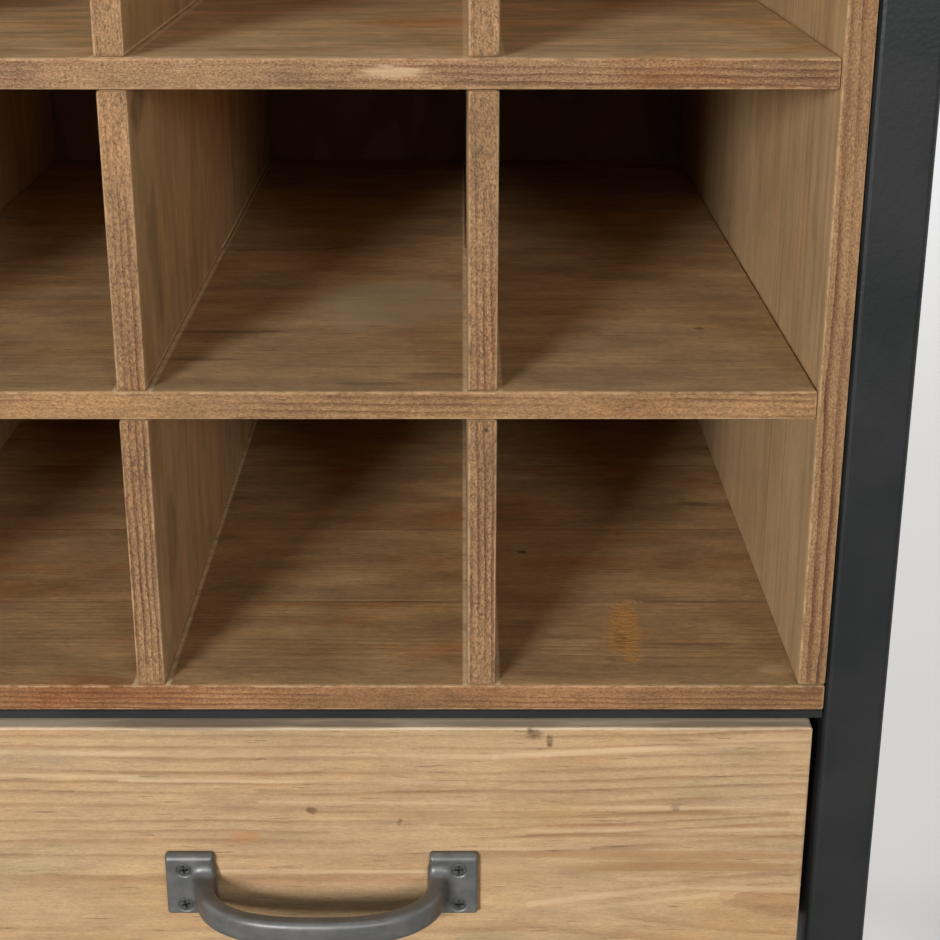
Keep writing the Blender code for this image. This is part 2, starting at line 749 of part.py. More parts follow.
rack_bottom = make_rack()
make_drawer_bay()
make_posts()
middle_angles, top_bars = make_rails()
fix_rack(rack_bottom, middle_angles)
make_top(top_bars)
make_slides()
make_drawer_box()
drawer_front = make_drawer_front()
make_pull(drawer_front)
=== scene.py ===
# %% [markdown]
# # Dressing a bar cabinet
# The cabinet is a fir bottle rack over one drawer, carried by a frame of black square steel tube. The
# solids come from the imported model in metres, and this file gives them the looks of wood, steel and paint,
# and adds the details that the solids are too plain for.

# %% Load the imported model
import math
import random

import bmesh
import bpy
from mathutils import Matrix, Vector


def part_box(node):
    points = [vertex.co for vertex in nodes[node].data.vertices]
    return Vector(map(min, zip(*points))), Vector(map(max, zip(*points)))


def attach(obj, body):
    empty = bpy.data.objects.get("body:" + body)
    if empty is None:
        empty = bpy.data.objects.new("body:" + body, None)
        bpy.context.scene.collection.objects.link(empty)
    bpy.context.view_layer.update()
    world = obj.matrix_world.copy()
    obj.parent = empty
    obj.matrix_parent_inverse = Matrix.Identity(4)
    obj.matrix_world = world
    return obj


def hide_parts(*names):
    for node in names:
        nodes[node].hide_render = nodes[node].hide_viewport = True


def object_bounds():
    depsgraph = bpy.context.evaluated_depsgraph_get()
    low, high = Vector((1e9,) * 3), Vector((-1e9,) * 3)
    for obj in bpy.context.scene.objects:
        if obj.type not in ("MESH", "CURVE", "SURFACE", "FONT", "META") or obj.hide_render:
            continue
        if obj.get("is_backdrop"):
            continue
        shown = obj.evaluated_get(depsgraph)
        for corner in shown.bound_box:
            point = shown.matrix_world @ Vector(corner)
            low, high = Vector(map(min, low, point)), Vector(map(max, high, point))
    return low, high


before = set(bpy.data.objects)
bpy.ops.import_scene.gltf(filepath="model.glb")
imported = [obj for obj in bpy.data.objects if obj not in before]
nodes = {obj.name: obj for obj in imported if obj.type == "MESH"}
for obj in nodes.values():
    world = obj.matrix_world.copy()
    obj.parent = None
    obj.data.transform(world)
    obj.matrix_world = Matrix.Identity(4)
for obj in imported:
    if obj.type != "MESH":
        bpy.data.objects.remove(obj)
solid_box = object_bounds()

MM = 1000.0
print(f"{len(nodes)} nodes, box {[tuple(round(v, 4) for v in corner) for corner in solid_box]}")

# %% [markdown]
# ## Places on the cabinet
# Everything that is added sits on the solids, so its place is read from their boxes and never guessed. The
# front of the wood is one plane, and depths into the rack are measured from there.

# %% Read the main places
front_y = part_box("shelf_1")[0].y
pull_low, pull_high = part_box("drawer_pull")
pull_middle = (pull_low + pull_high) / 2
print(f"front plane y {front_y:.4f}, pull centre x {pull_middle.x:.4f} z {pull_middle.z:.4f}")

# %% [markdown]
# ## The camera
# The photograph looks down at the middle of the cabinet from half a metre away. The edges of shelves and
# dividers gave the lens, the tilt and the place. The small shift stands for the way the picture was cut.

# %% Set the camera
CAMERA_PLACE = (0.0472, -0.6936, 0.5856)
CAMERA_TILT = 20.507
CAMERA_LENS = 68.62
CAMERA_SHIFT = 0.0085
camera = bpy.data.objects.new("camera", bpy.data.cameras.new("camera"))
camera.location = CAMERA_PLACE
camera.rotation_euler = (math.radians(90 - CAMERA_TILT), 0, 0)
camera.data.lens = CAMERA_LENS
camera.data.sensor_width = 36
camera.data.shift_x = CAMERA_SHIFT
camera.data.clip_start = 0.01
bpy.context.scene.collection.objects.link(camera)
bpy.context.scene.camera = camera
bpy.context.scene.view_settings.view_transform = "Standard"
print(f"camera at {CAMERA_PLACE}, {CAMERA_LENS} mm, {CAMERA_TILT} degrees down")

# %% [markdown]
# ## The light
# In the photograph two soft lamps stand left and right of the camera, the left one more than three times as
# strong. Their shadows cross on the floors of the cells, and little other light gets in, so the backs of the
# cells are nearly black. A lamp is placed by its angles as seen from the rack. Softer lamps at the sides,
# behind and above light the parts that the photograph doesn't show, and they can't reach into the cells.

# %% Hang the lamps
def soft_lamp(name, place, target, size, power):
    """A square lamp that faces its target."""
    lamp = bpy.data.objects.new(name, bpy.data.lights.new(name, "AREA"))
    lamp.data.shape = "SQUARE"
    lamp.data.size = size
    lamp.data.energy = power
    lamp.location = place
    lamp.rotation_euler = (Vector(target) - Vector(place)).to_track_quat("-Z", "Y").to_euler()
    bpy.context.scene.collection.objects.link(lamp)
    return lamp


RACK_MIDDLE = (0, 0, 0.45)
CELLS_MIDDLE = (0.05, front_y, 0.40)
FULL_LAMP = 4.93


def placed_lamp(name, turn, rise, distance, size, share):
    """A lamp in front of the cells. A share of 2 alone would show white as white."""
    turn, rise = math.radians(turn), math.radians(rise)
    away = Vector((math.sin(turn) * math.cos(rise), -math.cos(turn) * math.cos(rise), math.sin(rise)))
    place = Vector(CELLS_MIDDLE) + away * distance
    return soft_lamp(name, place, CELLS_MIDDLE, size, FULL_LAMP * share * distance ** 2)


placed_lamp("lamp_front_left", -24, 12.5, 2.0, 0.42, 1.86)
placed_lamp("lamp_front_right", 21, 15.5, 2.6, 0.5, 0.52)
soft_lamp("lamp_side_left", (-2.2, 0.5, 1.2), RACK_MIDDLE, 1.2, 26)
soft_lamp("lamp_side_right", (2.2, 0.5, 1.2), RACK_MIDDLE, 1.2, 26)
soft_lamp("lamp_back", (0.2, 2.4, 1.3), RACK_MIDDLE, 1.4, 30)
soft_lamp("lamp_above", (0, 0.3, 2.6), RACK_MIDDLE, 1.4, 22)
print("6 lamps")

# %% [markdown]
# ## Writing node trees as sums
# A node tree is easier to read as a sum than as a list of links. A Value wraps one socket, and Python's own
# signs add the Math nodes. Every other node comes from one method, which takes the node's type, its
# settings, and the values or links of its sockets. Shader and geometry trees both use it.

# %% Wrap a socket
class Value:
    """One output socket. A sum with it adds Math nodes to its tree."""

    def __init__(self, tree, socket):
        self.tree = tree
        self.socket = socket

    def maths(self, operation, *others):
        return self.tree.node("ShaderNodeMath", {"operation": operation}, (self, *others))

    def turned_round(self, operation, first):
        return self.tree.node("ShaderNodeMath", {"operation": operation}, (first, self))

    def __add__(self, other):
        return self.maths("ADD", other)

    def __sub__(self, other):
        return self.maths("SUBTRACT", other)

    def __mul__(self, other):
        return self.maths("MULTIPLY", other)

    def __truediv__(self, other):
        return self.maths("DIVIDE", other)

    def __pow__(self, other):
        return self.maths("POWER", other)

    def __rsub__(self, first):
        return self.turned_round("SUBTRACT", first)

    def __rtruediv__(self, first):
        return self.turned_round("DIVIDE", first)

    def __neg__(self):
        return self.maths("MULTIPLY", -1)

    __radd__ = __add__
    __rmul__ = __mul__


class Tree:
    """A node tree that one method fills."""

    def __init__(self, tree):
        self.tree = tree

    def node(self, kind, settings=None, values=(), result=0):
        made = self.tree.nodes.new(kind)
        for key, value in (settings or {}).items():
            setattr(made, key, value)
        pairs = values.items() if isinstance(values, dict) else enumerate(values)
        for place, value in pairs:
            if isinstance(value, Value):
                self.tree.links.new(value.socket, made.inputs[place])
            else:
                made.inputs[place].default_value = value
        if isinstance(result, tuple):
            return tuple(Value(self, made.outputs[r]) for r in result)
        return Value(self, made.outputs[result])

    def vector(self, x, y, z):
        return self.node("ShaderNodeCombineXYZ", None, (x, y, z))

    def parts(self, vector):
        return self.node("ShaderNodeSeparateXYZ", None, (vector,), (0, 1, 2))

    def vectors(self, operation, values, result=0):
        return self.node("ShaderNodeVectorMath", {"operation": operation}, values, result)

    def scaled(self, vector, factor):
        return self.vectors("SCALE", {0: vector, "Scale": factor})


print("Value and Tree are ready")

# %% [markdown]
# ## A finish
# A finish is a material with a Principled shader at its end. It reads the Object coordinates, in
# millimetres here, because the grain of wood and the peel of paint are small. The helpers below mix two
# colours, scale one, and draw noise whose lumps have a given length in each direction.

# %% Wrap a material
def screen(red, green, blue):
    """A colour as a screen shows it, from 0 to 255, turned into the light that it stands for."""
    def light(value):
        value /= 255
        return value / 12.92 if value <= 0.04045 else ((value + 0.055) / 1.055) ** 2.4
    return (light(red), light(green), light(blue), 1)


class Finish(Tree):
    """A material's tree, with the place on the piece in millimetres and a Principled shader."""

    def __init__(self, name, **fixed):
        self.material = bpy.data.materials.new(name)
        self.material.use_nodes = True
        super().__init__(self.material.node_tree)
        self.shader = self.tree.nodes["Principled BSDF"]
        for key, value in fixed.items():
            self.shader.inputs[key.replace("_", " ")].default_value = value
        place = self.node("ShaderNodeTexCoord", result="Object")
        self.place = self.scaled(place, MM)
        self.xyz = self.parts(self.place)

    def mix(self, factor, first, second, blend="MIX"):
        settings = {"data_type": "RGBA", "blend_type": blend}
        return self.node("ShaderNodeMix", settings, {0: factor, 6: first, 7: second}, 2)

    def steps(self, value, low, high, start=0.0, end=1.0):
        """A smooth step from start to end while the value goes from low to high."""
        settings = {"interpolation_type": "SMOOTHSTEP"}
        return self.node("ShaderNodeMapRange", settings, (value, low, high, start, end))

    def lumps(self, place, lengths, seed, detail=2.0, rough=0.5):
        """Noise from 0 to 1 whose lumps measure these lengths in millimetres."""
        rng = random.Random(seed)
        size = tuple(1 / length for length in lengths)
        offset = tuple(rng.uniform(-50, 50) for _ in range(3))
        at = self.vectors("MULTIPLY_ADD", (place, size, offset))
        values = {"Vector": at, "Scale": 1.0, "Detail": detail, "Roughness": rough}
        return self.node("ShaderNodeTexNoise", None, values)

    def spot(self, centre, reach, seed=0, ragged=0.0):
        """1 inside an ellipsoid with this centre and reach in millimetres, 0 outside, soft between."""
        away = self.vectors("DIVIDE", (self.vectors("SUBTRACT", (self.place, centre)), reach))
        far = self.vectors("LENGTH", (away,), 1)
        if ragged:
            grain = self.lumps(self.place, tuple(r / 2 for r in reach), seed, 3)
            far = far + (grain - 0.5) * (2 * ragged)
        return self.steps(far, 1.0, 0.45)

    def stroke(self, start, end, width):
        """1 on a short line between two places, 0 away from it, soft at its sides."""
        run = tuple(b - a for a, b in zip(start, end))
        length = sum(r * r for r in run)
        away = self.vectors("SUBTRACT", (self.place, start))
        share = self.vectors("DOT_PRODUCT", (away, run), 1) / length
        foot = self.scaled(run, share.maths("MAXIMUM", 0.0).maths("MINIMUM", 1.0))
        far = self.vectors("DISTANCE", (away, foot), 1)
        return self.steps(far, width, width * 0.3)

    def close(self, colour, roughness, height=None, distance=0.1):
        """Feeds the shader. The height is in parts of the distance, which is in millimetres."""
        for key, value in (("Base Color", colour), ("Roughness", roughness)):
            if isinstance(value, Value):
                self.tree.links.new(value.socket, self.shader.inputs[key])
            else:
                self.shader.inputs[key].default_value = value
        if height is not None:
            values = {"Strength": 1.0, "Distance": distance / MM, "Height": height}
            normal = self.node("ShaderNodeBump", None, values)
            self.tree.links.new(normal.socket, self.shader.inputs["Normal"])
        return self.material


def dress(name, material):
    """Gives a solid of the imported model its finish."""
    nodes[name].material_slots[0].material = material


print("Finish is ready")

# %% [markdown]
# ## The floor and the world
# The floor is plain and pale and takes the object's shadow. The world gives a little light from all sides,
# and where the camera, a shiny surface or clear glass sees it, a pale background. A bright floor would also
# throw light up into the cells and take the depth out of them, so for all other rays it is darker.

# %% Lay the floor
FLOOR_RADIUS = 9.0
floor_mesh = bpy.data.meshes.new("floor")
shape = bmesh.new()
bmesh.ops.create_circle(shape, cap_ends=True, segments=96, radius=FLOOR_RADIUS)
shape.to_mesh(floor_mesh)
shape.free()
floor = bpy.data.objects.new("floor", floor_mesh)
bpy.context.scene.collection.objects.link(floor)
floor_finish = Finish("pale_floor", Specular_IOR_Level=0.0, Emission_Strength=1.0)
cloud = floor_finish.lumps(floor_finish.place, (900, 900, 900), 3)
floor_colour = floor_finish.mix(cloud, screen(204, 203, 201), screen(213, 212, 209))
SEEN_RAYS = ("Is Camera Ray", "Is Glossy Ray", "Is Transmission Ray")


def seen_rays(tree):
    """1 for the rays that show a background, 0 for those that only carry light."""
    camera_ray, glossy_ray, through_ray = tree.node("ShaderNodeLightPath", None, (), SEEN_RAYS)
    return camera_ray.maths("MAXIMUM", glossy_ray).maths("MAXIMUM", through_ray)


STUDIO_WHITE = screen(250, 250, 250)
WORLD_FILL = 0.05
WORLD_SHOWN = 0.9
FLOOR_NEAR, FLOOR_FAR = 900, 2600
shown_light = tuple(WORLD_SHOWN * part for part in STUDIO_WHITE[:3]) + (1,)
distance = floor_finish.vectors("LENGTH", (floor_finish.place,), 1)
camera_ray = floor_finish.node("ShaderNodeLightPath", None, (), SEEN_RAYS[0])
faded = floor_finish.steps(distance, FLOOR_NEAR, FLOOR_FAR) * camera_ray
black = (0, 0, 0, 1)
floor_colour = floor_finish.mix(seen_rays(floor_finish), screen(110, 109, 107), floor_colour)
floor_colour = floor_finish.mix(faded, floor_colour, black)
floor_glow = floor_finish.mix(faded, black, shown_light)
floor_finish.tree.links.new(floor_glow.socket, floor_finish.shader.inputs["Emission Color"])
floor_mesh.materials.append(floor_finish.close(floor_colour, 0.8))
floor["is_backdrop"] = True

world = bpy.data.worlds.new("studio")
world.use_nodes = True
bpy.context.scene.world = world
air = Tree(world.node_tree)
fill = air.node("ShaderNodeBackground", None, (STUDIO_WHITE, WORLD_FILL))
shown = air.node("ShaderNodeBackground", None, (STUDIO_WHITE, WORLD_SHOWN))
sky = air.node("ShaderNodeMixShader", None, (seen_rays(air), fill, shown))
air.tree.links.new(sky.socket, air.tree.nodes["World Output"].inputs["Surface"])
print(f"floor of {FLOOR_RADIUS} m, world {WORLD_FILL} for light and {WORLD_SHOWN} as seen")

# %% [markdown]
# ## Fir, from the inside of a log
# A board is a cut through a log, so its grain is built the same way: rings round a long axis that lies near
# the board, a little tilted and swaying. Where the board cuts the rings flat they make flames, and where it
# cuts them steeply they make straight lines, and all six sides agree. A wide board is glued from strips, so
# the axis jumps at every joint. Fine fibres, stain clouds and pale worn arrises lie over the rings.

# %% Name the woods
BROWN = {
    "early": screen(192, 160, 118),
    "late": screen(140, 104, 68),
    "cool": screen(172, 144, 106),
    "warm": screen(176, 128, 82),
    "worn": screen(200, 164, 122),
    "line": screen(112, 66, 42),
    "pale": 0.10,
    "ring": 2.3,
    "rise": (0.30, 0.92),
    "sway": 5,
    "contrast": 0.30,
    "blotch": (42, 16, 16),
    "streak": 0.76,
    "dashes": 0.42,
    "hairs": 0.10,
    "scratch": 0.62,
    "coarse": 2.2,
    "fibre": 0.38,
    "clouds": 0.85,
    "edge": (0.54, 0.455, 0.41, 1),
    "speckle": 0.72,
}
STANDING = dict(BROWN, contrast=0.07, pale=0.04, dashes=0.1, scratch=0.5, coarse=1.0, fibre=0.2, clouds=0.6,
                streak=0.6, speckle=0.88)
OUTSIDE = dict(BROWN, contrast=0.44, pale=0.2, ring=3.0, dashes=0.24, scratch=0.5, coarse=1.0, fibre=0.2,
               clouds=0.42, streak=0.36)
PALE = {
    "early": screen(190, 157, 117),
    "late": screen(150, 116, 80),
    "cool": screen(172, 150, 114),
    "warm": screen(190, 148, 102),
    "worn": screen(216, 186, 148),
    "line": screen(150, 112, 76),
    "pale": 0.32,
    "ring": 3.9,
    "rise": (0.45, 0.92),
    "sway": 6,
    "contrast": 0.40,
    "blotch": (34, 7, 7),
    "streak": 0.42,
    "dashes": 0.42,
    "hairs": 0.46,
    "scratch": 0.56,
    "coarse": 1.0,
    "fibre": 0.2,
    "clouds": 0.6,
    "edge": (1.0, 1.0, 1.0, 1),
    "speckle": 0.12,
}
print("brown stained fir in the cells, standing and outside, and pale fir for the drawer")


# %% Find a place in the log
SHIFT_ALONG, SHIFT_ACROSS, SHIFT_THROUGH = 500, 60, 16


def along_board(finish, axes):
    """The place in the board: along the grain, across the face and through the thickness."""
    named = dict(zip("xyz", finish.xyz))
    return [named[a] for a in axes]


def strip_jumps(wide, joints, rng, reach):
    """A number that jumps at every glue joint."""
    jump = 0.0
    for joint in joints:
        step = rng.uniform(0.4 * reach, reach) * rng.choice((-1, 1))
        jump = wide.maths("GREATER_THAN", joint) * step + jump
    return jump


def log_place(finish, wood, board, joints, heart, seed, bend=0.0):
    """The place in the log, and how far between two growth lines it lies, from 0 to 1."""
    rng = random.Random(seed)
    along, wide, deep = board
    across = wide + strip_jumps(wide, joints, rng, SHIFT_ACROSS)
    through = deep + strip_jumps(wide, joints, rng, SHIFT_THROUGH)
    place = finish.vector(along + strip_jumps(wide, joints, rng, SHIFT_ALONG), across, through)
    sway = (finish.lumps(place, (230, 60, 60), seed + 1, 2) - 0.5) * (2 * wood["sway"])
    shiver = (finish.lumps(place, (26, 5, 5), seed + 2, 4) - 0.5) * 1.8
    side = across - heart[0] + sway
    below = through - heart[1] + along * heart[2] + bend
    radius = (side * side + below * below).maths("SQRT") + shiver
    crowd = (finish.lumps(finish.vector(radius, 0.0, 0.0), (11, 11, 11), seed + 3, 1) - 0.5) * 1.8
    return place, (radius / wood["ring"] + crowd).maths("FRACT")


def growth_lines(finish, wood, place, turn, seed):
    """How dark and how pale the growth lines are. They fade in and out along the board."""
    first, last = wood["rise"]
    fade = finish.steps(finish.lumps(place, (90, 9, 9), seed + 4, 3), 0.34, 0.64, 0.15, 1.0)
    dark = finish.steps(turn, first, last) * finish.steps(turn, 1.0, 0.95) * fade
    pale = finish.steps(turn, 0.86, 0.93) * finish.steps(turn, 1.0, 0.97) * fade
    return dark, pale


def fibres(finish, place, seed, hairy=0.4, coarse=1.0):
    """Long thin streaks that lie over the rings, about 0 on average. Coarse ones are wider on the face."""
    hairs = finish.lumps(place, (240, 0.9, 0.9), seed + 11, 2, 0.6) - 0.5
    long_ones = finish.lumps(place, (34, 1.1 * coarse, 1.1), seed + 5, 3, 0.7) - 0.5
    short_ones = finish.lumps(place, (4, 0.45 * coarse, 0.45), seed + 6, 2, 0.7) - 0.5
    return hairs * hairy + long_ones * 0.8 + short_ones * 1.4


def arris_distance(finish, low, high):
    """Distance in millimetres from the nearest arris of a box."""
    gaps = []
    for value, a, b in zip(finish.xyz, low, high):
        middle, half = (a + b) / 2 * MM, (b - a) / 2 * MM
        gaps.append(((value - middle).maths("ABSOLUTE") - half).maths("ABSOLUTE"))
    small = gaps[0].maths("MINIMUM", gaps[1])
    large = gaps[0].maths("MAXIMUM", gaps[1])
    return small.maths("MAXIMUM", large.maths("MINIMUM", gaps[2]))


print("log_place, growth_lines, fibres and arris_distance are ready")


# %% Colour the wood and mark it
DARK = screen(64, 38, 22)
LONG_STROKE = 48


def clouded(finish, wood, place, dark, pale, seed):
    """The growth lines in the wood's colours, under clouds of cooler and warmer stain."""
    colour = finish.mix(dark * wood["contrast"], wood["early"], wood["late"])
    colour = finish.mix(pale * wood["pale"], colour, wood["worn"])
    cloud = finish.lumps(place, (80, 28, 28), seed + 7, 5, 0.65)
    for end, tint in ((0.7, "cool"), (0.3, "warm")):
        colour = finish.mix(finish.steps(cloud, 0.5, end, 0, wood["clouds"]), colour, wood[tint])
    return colour


def marked(finish, colour, height, front, chipped, seed, bands, marks, strokes):
    """Lays bands, marks and strokes over the colour, and cuts the short strokes into the height."""
    for axis, where, half, tint, strength in bands:
        broken = finish.steps(chipped, 0.3, 0.6, 0.35, 1.0)
        mask = finish.steps((finish.xyz[axis] - where).maths("ABSOLUTE"), half, half * 0.3) * broken
        colour = finish.mix(mask * (1.0 - front) * strength, colour, tint)
    for number, (centre, reach, tint, strength) in enumerate(marks):
        mask = finish.spot(centre, reach, seed + 20 + number, 0.5)
        colour = finish.mix(mask * strength, colour, tint)
    if strokes:
        ragged = finish.steps(finish.lumps(finish.place, (3.0, 1.2, 1.2), seed + 14, 3, 0.75), 0.36, 0.62)
        faded = finish.steps(finish.lumps(finish.place, (40, 6, 6), seed + 15, 2), 0.35, 0.62, 0.3, 1.0)
    for start, end, width, tint, strength in strokes:
        long = math.dist(start, end) > LONG_STROKE
        mask = finish.stroke(start, end, width) * (faded if long else ragged)
        colour = finish.mix(mask * strength, colour, tint)
        height = height if long else height - mask
    return colour, height


# %% Put a board together
def fir(node, wood, axes, seed, joints=(), heart=(0, -30, 0.01), front_edge=True, tone_and_painted_light=1.0, flame=None,
        marks=(), bands=(), strokes=()):
    """The finish of one board, in millimetres: marks (centre, reach, colour, strength), bands (axis, place,
    half width, colour, strength) and strokes (start, end, width, colour, strength)."""
    low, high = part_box(node)
    finish = Finish(f"fir_{node}", Specular_IOR_Level=0.25)
    board = along_board(finish, axes)
    middle = [(low["xyz".index(a)] + high["xyz".index(a)]) / 2 * MM for a in axes]
    bend = finish.steps(board[0], flame[0], flame[1], 0, flame[2]) if flame else 0.0
    place_heart = (middle[1] + heart[0], middle[2] + heart[1], heart[2])
    place, turn = log_place(finish, wood, board, joints, place_heart, seed, bend)
    dark, pale = growth_lines(finish, wood, place, turn, seed)
    fibre = fibres(finish, place, seed, wood["hairs"], wood["coarse"])
    colour = clouded(finish, wood, place, dark, pale, seed)
    stain = finish.lumps(place, wood["blotch"], seed + 8, 5, 0.66) - 0.5
    dashes = finish.steps(finish.lumps(place, (13, 0.8, 0.8), seed + 12, 3, 0.6), 0.60, 0.74)
    front = finish.steps(finish.xyz[1] - front_y * MM, 0.9, 0.3) if front_edge else 0.0
    scratch = finish.lumps(place, (2.6, 0.5 * wood["coarse"], 0.5), seed + 13, 3, 0.8) - 0.5
    light = (fibre * wood["fibre"] + 1.0) * (stain * (2 * wood["streak"]) + 1.0)
    light = light * (1.0 - dashes * wood["dashes"]) * (scratch * wood["scratch"] + 1.0)
    height = fibre * 0.5 - dark * 0.35 - dashes * 0.4
    if front_edge:
        line_share = 0.75 if axes[0] == "z" else 0.5
        colour = finish.mix(front * dark * line_share, colour, wood["line"])
        colour = finish.mix(front, colour, wood["edge"], "MULTIPLY")
        speckle = finish.lumps(place, (0.9, 0.5, 0.5), seed + 9, 3, 0.75) - 0.5
        light = light * (front * speckle * (wood["speckle"] * 4) + 1)
        height = height + front * speckle * 1.2
    # The last factor is the board's tone, and for the shelves it is painted light and shade as well.
    colour = finish.scaled(colour, light * tone_and_painted_light)
    away = arris_distance(finish, low, high)
    chipped = finish.lumps(finish.place, (6, 6, 6), seed + 10, 4, 0.75)
    worn = finish.steps(away - chipped * 1.6, 0.1, -0.5) * finish.steps(chipped, 0.35, 0.6, 0.3, 1.0)
    colour = finish.mix(worn * 0.55, colour, wood["worn"])
    for joint in joints:
        open_part = finish.steps(stain, -0.25, 0.1, 0.3, 1)
        crack = finish.steps((board[1] - joint).maths("ABSOLUTE"), 0.55, 0.1) * open_part
        colour = finish.mix(crack * 0.45, colour, DARK)
        height = height - crack
    colour, height = marked(finish, colour, height, front, chipped, seed, bands, marks, strokes)
    roughness = finish.steps(fibre, -0.6, 0.6, 0.8, 0.62)
    dress(node, finish.close(colour, roughness, height, 0.12))


def depth(value):
    """A depth into the rack, in millimetres from the front plane, as a place along y."""
    return front_y * MM + value


print("fir() is ready")

# %% [markdown]
# ## The rack's boards
# Shelves run from side to side with their grain along x. Dividers and sides stand, and their grain goes up.
# Each board gets a seed of its own. The joints and marks that the photograph shows have their true places.

# %% Dress the shelves
RESIN = screen(216, 154, 78)
SCRAPED = screen(214, 184, 142)
# painted light: the pale colour of a line along each corner where a floor meets a wall
PAINTED_CORNER_LIGHT = screen(250, 226, 186)
BLEACHED = screen(188, 170, 140)
# half width and strength of the painted light along those corners
CORNER_LIGHT_HALF = 1.2
CORNER_LIGHT_SHARE = 0.75
CELL_PITCH = 100
EDGE_DROP = 4
LYING_BOARDS = ("rack_bottom", "shelf_1", "shelf_2", "shelf_3", "shelf_4", "rack_top")
tops = {name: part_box(name)[1].z * MM for name in LYING_BOARDS}
floor_0, floor_1 = tops["rack_bottom"], tops["shelf_1"]
edge_2 = floor_1 + CELL_PITCH - EDGE_DROP

shelf_marks = {
    "shelf_1": (
        ((-30, depth(66), floor_1), (24, 3.0, 3), DARK, 0.45),
        ((-36, depth(34), floor_1), (16, 2.4, 3), DARK, 0.40),
        ((38, depth(16), floor_1), (12, 6, 3), DARK, 0.38),
        ((20, depth(8), floor_1), (16, 2.5, 3), DARK, 0.30),
        ((30, depth(128), floor_1), (24, 9, 3), SCRAPED, 0.24),
        ((26, depth(104), floor_1), (38, 46, 3), BLEACHED, 0.60),
        ((128, depth(70), floor_1), (2.2, 2, 2), DARK, 0.6),
    ),
    "shelf_2": (((27.5, depth(0), edge_2), (12, 2, 2.4), SCRAPED, 0.55),),
    "rack_bottom": (
        ((103, depth(42), floor_0), (9, 30, 3), RESIN, 0.34),
        ((101, depth(34), floor_0), (3, 9, 3), DARK, 0.30),
        ((70, depth(110), floor_0), (2.4, 2, 2), DARK, 0.7),
        ((142, depth(160), floor_0), (9, 3.5, 3), DARK, 0.45),
        ((152, depth(12), floor_0), (9, 5, 3), SCRAPED, 0.40),
        ((84, depth(36), floor_0), (14, 2.4, 3), DARK, 0.28),
        ((128, depth(30), floor_0), (18, 2.2, 3), DARK, 0.26),
    ),
}
shelf_strokes = {
    "shelf_1": (
        ((-42, depth(184), floor_1), (-14, depth(185), floor_1), 1.0, DARK, 0.8),
        ((-14, depth(185), floor_1), (3, depth(188), floor_1), 0.9, DARK, 0.9),
        ((-19, depth(62), floor_1), (-16, depth(63), floor_1), 0.6, DARK, 0.9),
        ((-17, depth(44), floor_1), (-14, depth(45), floor_1), 0.5, DARK, 0.7),
    ),
    "rack_bottom": (
        ((98.5, depth(24), floor_0), (102, depth(60), floor_0), 3.4, RESIN, 0.50),
        ((104, depth(19), floor_0), (106, depth(64), floor_0), 4.4, RESIN, 0.70),
        ((99, depth(62), floor_0), (110, depth(64), floor_0), 2.4, SCRAPED, 0.40),
    ),
}
# Painted light: a pale line on each floor along the foot of a wall, over the shade in the seam.
corner_lines = tuple((0, x, CORNER_LIGHT_HALF, PAINTED_CORNER_LIGHT, CORNER_LIGHT_SHARE) for x in (-48.2, 48.2, 58.8, -58.8))
# Painted light and shade: each shelf's colour is scaled as a whole, to stand for more or less light on its
# floor.
painted_light_by_shelf = {"rack_bottom": 0.86, "shelf_1": 0.93, "shelf_2": 1.38, "shelf_3": 1.36, "shelf_4": 1.2}
shelf_woods = {
    "rack_bottom": dict(BROWN, early=screen(192, 155, 110), cool=screen(172, 140, 99),
                        warm=screen(176, 124, 77), edge=(0.62, 0.494, 0.44, 1), speckle=0.52),
    "shelf_1": dict(BROWN, clouds=0.58, streak=0.7, dashes=0.5, scratch=0.72, speckle=0.6,
                    edge=(0.67, 0.555, 0.47, 1)),
    "shelf_2": dict(BROWN, early=screen(192, 165, 127), cool=screen(172, 149, 114),
                    warm=screen(176, 133, 88), edge=(0.43, 0.342, 0.297, 1), speckle=0.86),
}
shelf_joints = {
    "rack_bottom": (65, 133, 205, 290),
    "shelf_1": (108, 262, 330),
    "shelf_2": (48, 122, 214, 300),
    "shelf_3": (84, 150, 236, 310),
    "shelf_4": (60, 141, 222, 305),
    "rack_top": (72, 160, 250, 320),
}
for number, (name, joints) in enumerate(shelf_joints.items()):
    heart = (-186 + 7 * number, -30 - 5 * number, 0.012)
    fir(name, shelf_woods.get(name, BROWN), "xyz", 100 + 31 * number, tuple(depth(j) for j in joints), heart,
        tone_and_painted_light=painted_light_by_shelf.get(name, 1.0), marks=shelf_marks.get(name, ()),
        strokes=shelf_strokes.get(name, ()), bands=corner_lines)
print(f"{len(shelf_joints)} boards with the grain along x")

# %% Dress the dividers and sides
NAIL_PLACE = (54.6, front_y * MM, 404.4)
left_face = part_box("divider_left")[1].x * MM
upright_joints = {
    "divider_left": (70, 150, 228, 300),
    "divider_right": (58, 132, 210, 301),
    "rack_side_left": (64, 141, 220, 296),
    "rack_side_right": (76, 158, 230, 312),
    "bay_side_left": (81, 170, 250, 322),
    "bay_side_right": (66, 149, 236, 305),
}
upright_marks = {
    "divider_right": ((NAIL_PLACE, (0.8, 2, 0.9), screen(54, 38, 26), 0.8),),
    "divider_left": (
        ((left_face, depth(32), floor_1 + 30), (3, 16, 32), DARK, 0.27),
        ((left_face, depth(16), floor_1 + 84), (3, 14, 10), DARK, 0.42),
        ((left_face, depth(60), floor_1 + 66), (3, 16, 20), SCRAPED, 0.14),
        ((left_face, depth(30), floor_0 + 40), (3, 12, 22), DARK, 0.30),
    ),
}
